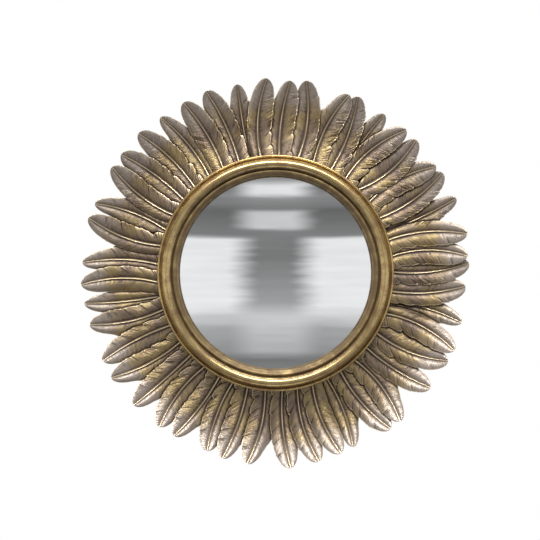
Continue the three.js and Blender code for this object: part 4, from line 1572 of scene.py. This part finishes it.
# What the domed glass shows of a plain pale room: level bands from the floor up, at the sides
# and in the middle. Each starts at a height, which is the sine of its elevation, and has a
# brightness.
LOW_BANDS = ((-0.95, 0.85), (-0.87, 0.24), (-0.5, 0.22), (-0.46, 0.18))
HIGH_BANDS = ((0.49, 0.3), (0.56, 0.5), (0.8, 0.8), (0.9, 0.5))
SIDE_BANDS = (
    *LOW_BANDS,
    *((-0.42, 0.3), (-0.3, 0.4), (-0.24, 0.62), (-0.18, 0.86), (0.18, 0.84)),
    *((0.2, 0.22), (0.33, 0.14), (0.36, 0.2), (0.41, 0.27), (0.45, 0.18)),
    *HIGH_BANDS,
)
MIDDLE_BANDS = (
    *LOW_BANDS,
    *((-0.42, 0.46), (-0.36, 0.5), (-0.24, 0.64), (-0.16, 0.36), (0.09, 0.2), (0.23, 0.22)),
    *((0.245, 0.62), (0.32, 0.6), (0.34, 0.2), (0.4, 0.3), (0.42, 0.8), (0.46, 0.8)),
    *HIGH_BANDS,
)
MIDDLE_HALF = (0.08, 0.26)  # from the middle's full strength to none, as a sine of the azimuth


def set_surroundings(scene):
    """White for the camera, and for reflections on the far side of the object. In front of
    it, reflections meet the bands of a plain room, darker towards the floor."""
    world = bpy.data.worlds.new("studio")
    world.use_nodes = True
    scene.world = world
    bench = Bench(world.node_tree)
    world.node_tree.nodes.clear()
    direction = bench.add("ShaderNodeTexCoord", output="Generated")
    x = bench.add("ShaderNodeSeparateXYZ", {0: direction})
    y, z = bench.more(x, "Y"), bench.more(x, "Z")
    level_rays = bench.add("ShaderNodeMapping", {"Vector": direction, "Scale": (1.2, 1, 16)})
    streaks = bench.add("ShaderNodeTexNoise", {"Vector": level_rays, "Scale": 2.0, "Detail": 3})
    height = (z + (streaks - 0.5) * 0.03) * 0.5 + 0.5
    rooms = []
    for bands in (SIDE_BANDS, MIDDLE_BANDS):
        stops = [((start + 1) / 2, (shade,) * 3) for start, shade in bands]
        ramp = bench.add("ShaderNodeValToRGB", {0: height}, stops=stops)
        rooms.append(bench.add("ShaderNodeSeparateColor", {0: ramp}))
    sides, middle = rooms
    midway = 1 - (x.of("ABSOLUTE") + (streaks - 0.5) * 0.12).ramp(*MIDDLE_HALF)
    front = (sides * (1 - midway) + middle * midway) * (0.86 + streaks * 0.28)
    behind = (y + z * 0.3).ramp(0.1, 0.4)
    mirrored = front * (1 - behind) + behind
    rays = bench.add("ShaderNodeLightPath", output="Is Camera Ray")
    glossy = bench.more(rays, "Is Glossy Ray").most(bench.more(rays, "Is Transmission Ray"))
    plain = 0.22 + y.ramp(0.1, 0.5) * 0.6
    lit = plain * (1 - glossy) + mirrored * glossy
    strength = lit * (1 - rays) + rays
    white = (1, 1, 1, 1)
    background = bench.add("ShaderNodeBackground", {"Color": white, "Strength": strength})
    bench.add("ShaderNodeOutputWorld", {"Surface": background})


KEY_PLACE = (0, -2.15, 2.45)  # in metres, in front of the wall and overhead
KEY_SIZE = (2.8, 1.2)  # in metres


def set_lights(sizes):
    """One broad soft light in front and overhead, higher than the glass can mirror."""
    light = bpy.data.lights.new("key_light", "AREA")
    light.energy = sizes.key
    light.shape = "RECTANGLE"
    light.size, light.size_y = KEY_SIZE
    lamp = bpy.data.objects.new("key_light", light)
    lamp.location = KEY_PLACE
    lamp.rotation_euler = (-Vector(KEY_PLACE)).to_track_quat("-Z", "Y").to_euler()
    bpy.context.scene.collection.objects.link(lamp)


# Where the mirror's axis crosses the 540 pixel wide photograph.
AXIS_PIXEL = (275.5, 273.0)
MIDDLE_PIXEL = 270.0


def set_camera(scene, sizes):
    """A long lens, square to the wall, that frames the mirror as the photograph does."""
    camera = bpy.data.cameras.new("camera")
    eye = bpy.data.objects.new("camera", camera)
    scene.collection.objects.link(eye)
    pixel = sizes.view_width / (2 * MIDDLE_PIXEL)
    across = (MIDDLE_PIXEL - AXIS_PIXEL[0]) * pixel
    up = (AXIS_PIXEL[1] - MIDDLE_PIXEL) * pixel
    eye.location = (across, -sizes.distance, up)
    eye.rotation_euler = (math.pi / 2, 0, 0)
    wreath = -DISH_FLOOR * MM
    camera.lens = camera.sensor_width * (sizes.distance + wreath) / sizes.view_width
    scene.camera = eye


class MIRROR_PT_panel(bpy.types.Panel):
    """The mirror's pieces and their sizes"""

    bl_idname = "MIRROR_PT_panel"
    bl_label = "Convex Mirror"
    bl_space_type = "VIEW_3D"
    bl_region_type = "UI"
    bl_category = "Mirror"

    def draw(self, context):
        for operator, group in STEPS:
            box = self.layout.box()
            box.operator(operator.bl_idname)
            settings = getattr(sizes_of(context), group)
            for prop in settings.bl_rna.properties:
                if prop.identifier not in ("rna_type", "name"):
                    box.prop(settings, prop.identifier)


STEPS = (
    (MIRROR_OT_stage, "stage"),
    (MIRROR_OT_moulding, "moulding"),
    (MIRROR_OT_glass, "glass"),
    (MIRROR_OT_backing, "backing"),
    (MIRROR_OT_turn_buttons, "fittings"),
    (MIRROR_OT_hanger, "fittings"),
    (MIRROR_OT_screws, "fittings"),
    (MIRROR_OT_feathers, "feathers"),
)
GROUPS = (FeatherSizes, MouldingSizes, GlassSizes, BackingSizes, FittingSizes, StageSizes)
CLASSES = (*GROUPS, MirrorSizes, *(operator for operator, _ in STEPS), MIRROR_PT_panel)


def register():
    """Registers the classes, and gives each scene its sizes."""
    for each in CLASSES:
        bpy.utils.register_class(each)
    bpy.types.Scene.convex_mirror = PointerProperty(type=MirrorSizes)


def unregister():
    """Takes the sizes and the classes away again."""
    del bpy.types.Scene.convex_mirror
    for each in reversed(CLASSES):
        bpy.utils.unregister_class(each)


def main():
    """Makes every piece and the stage in order."""
    register()
    turning_tree()
    for operator, _ in STEPS:
        family, verb = operator.bl_idname.split(".")
        getattr(getattr(bpy.ops, family), verb)()


if __name__ == "__main__":
    main()
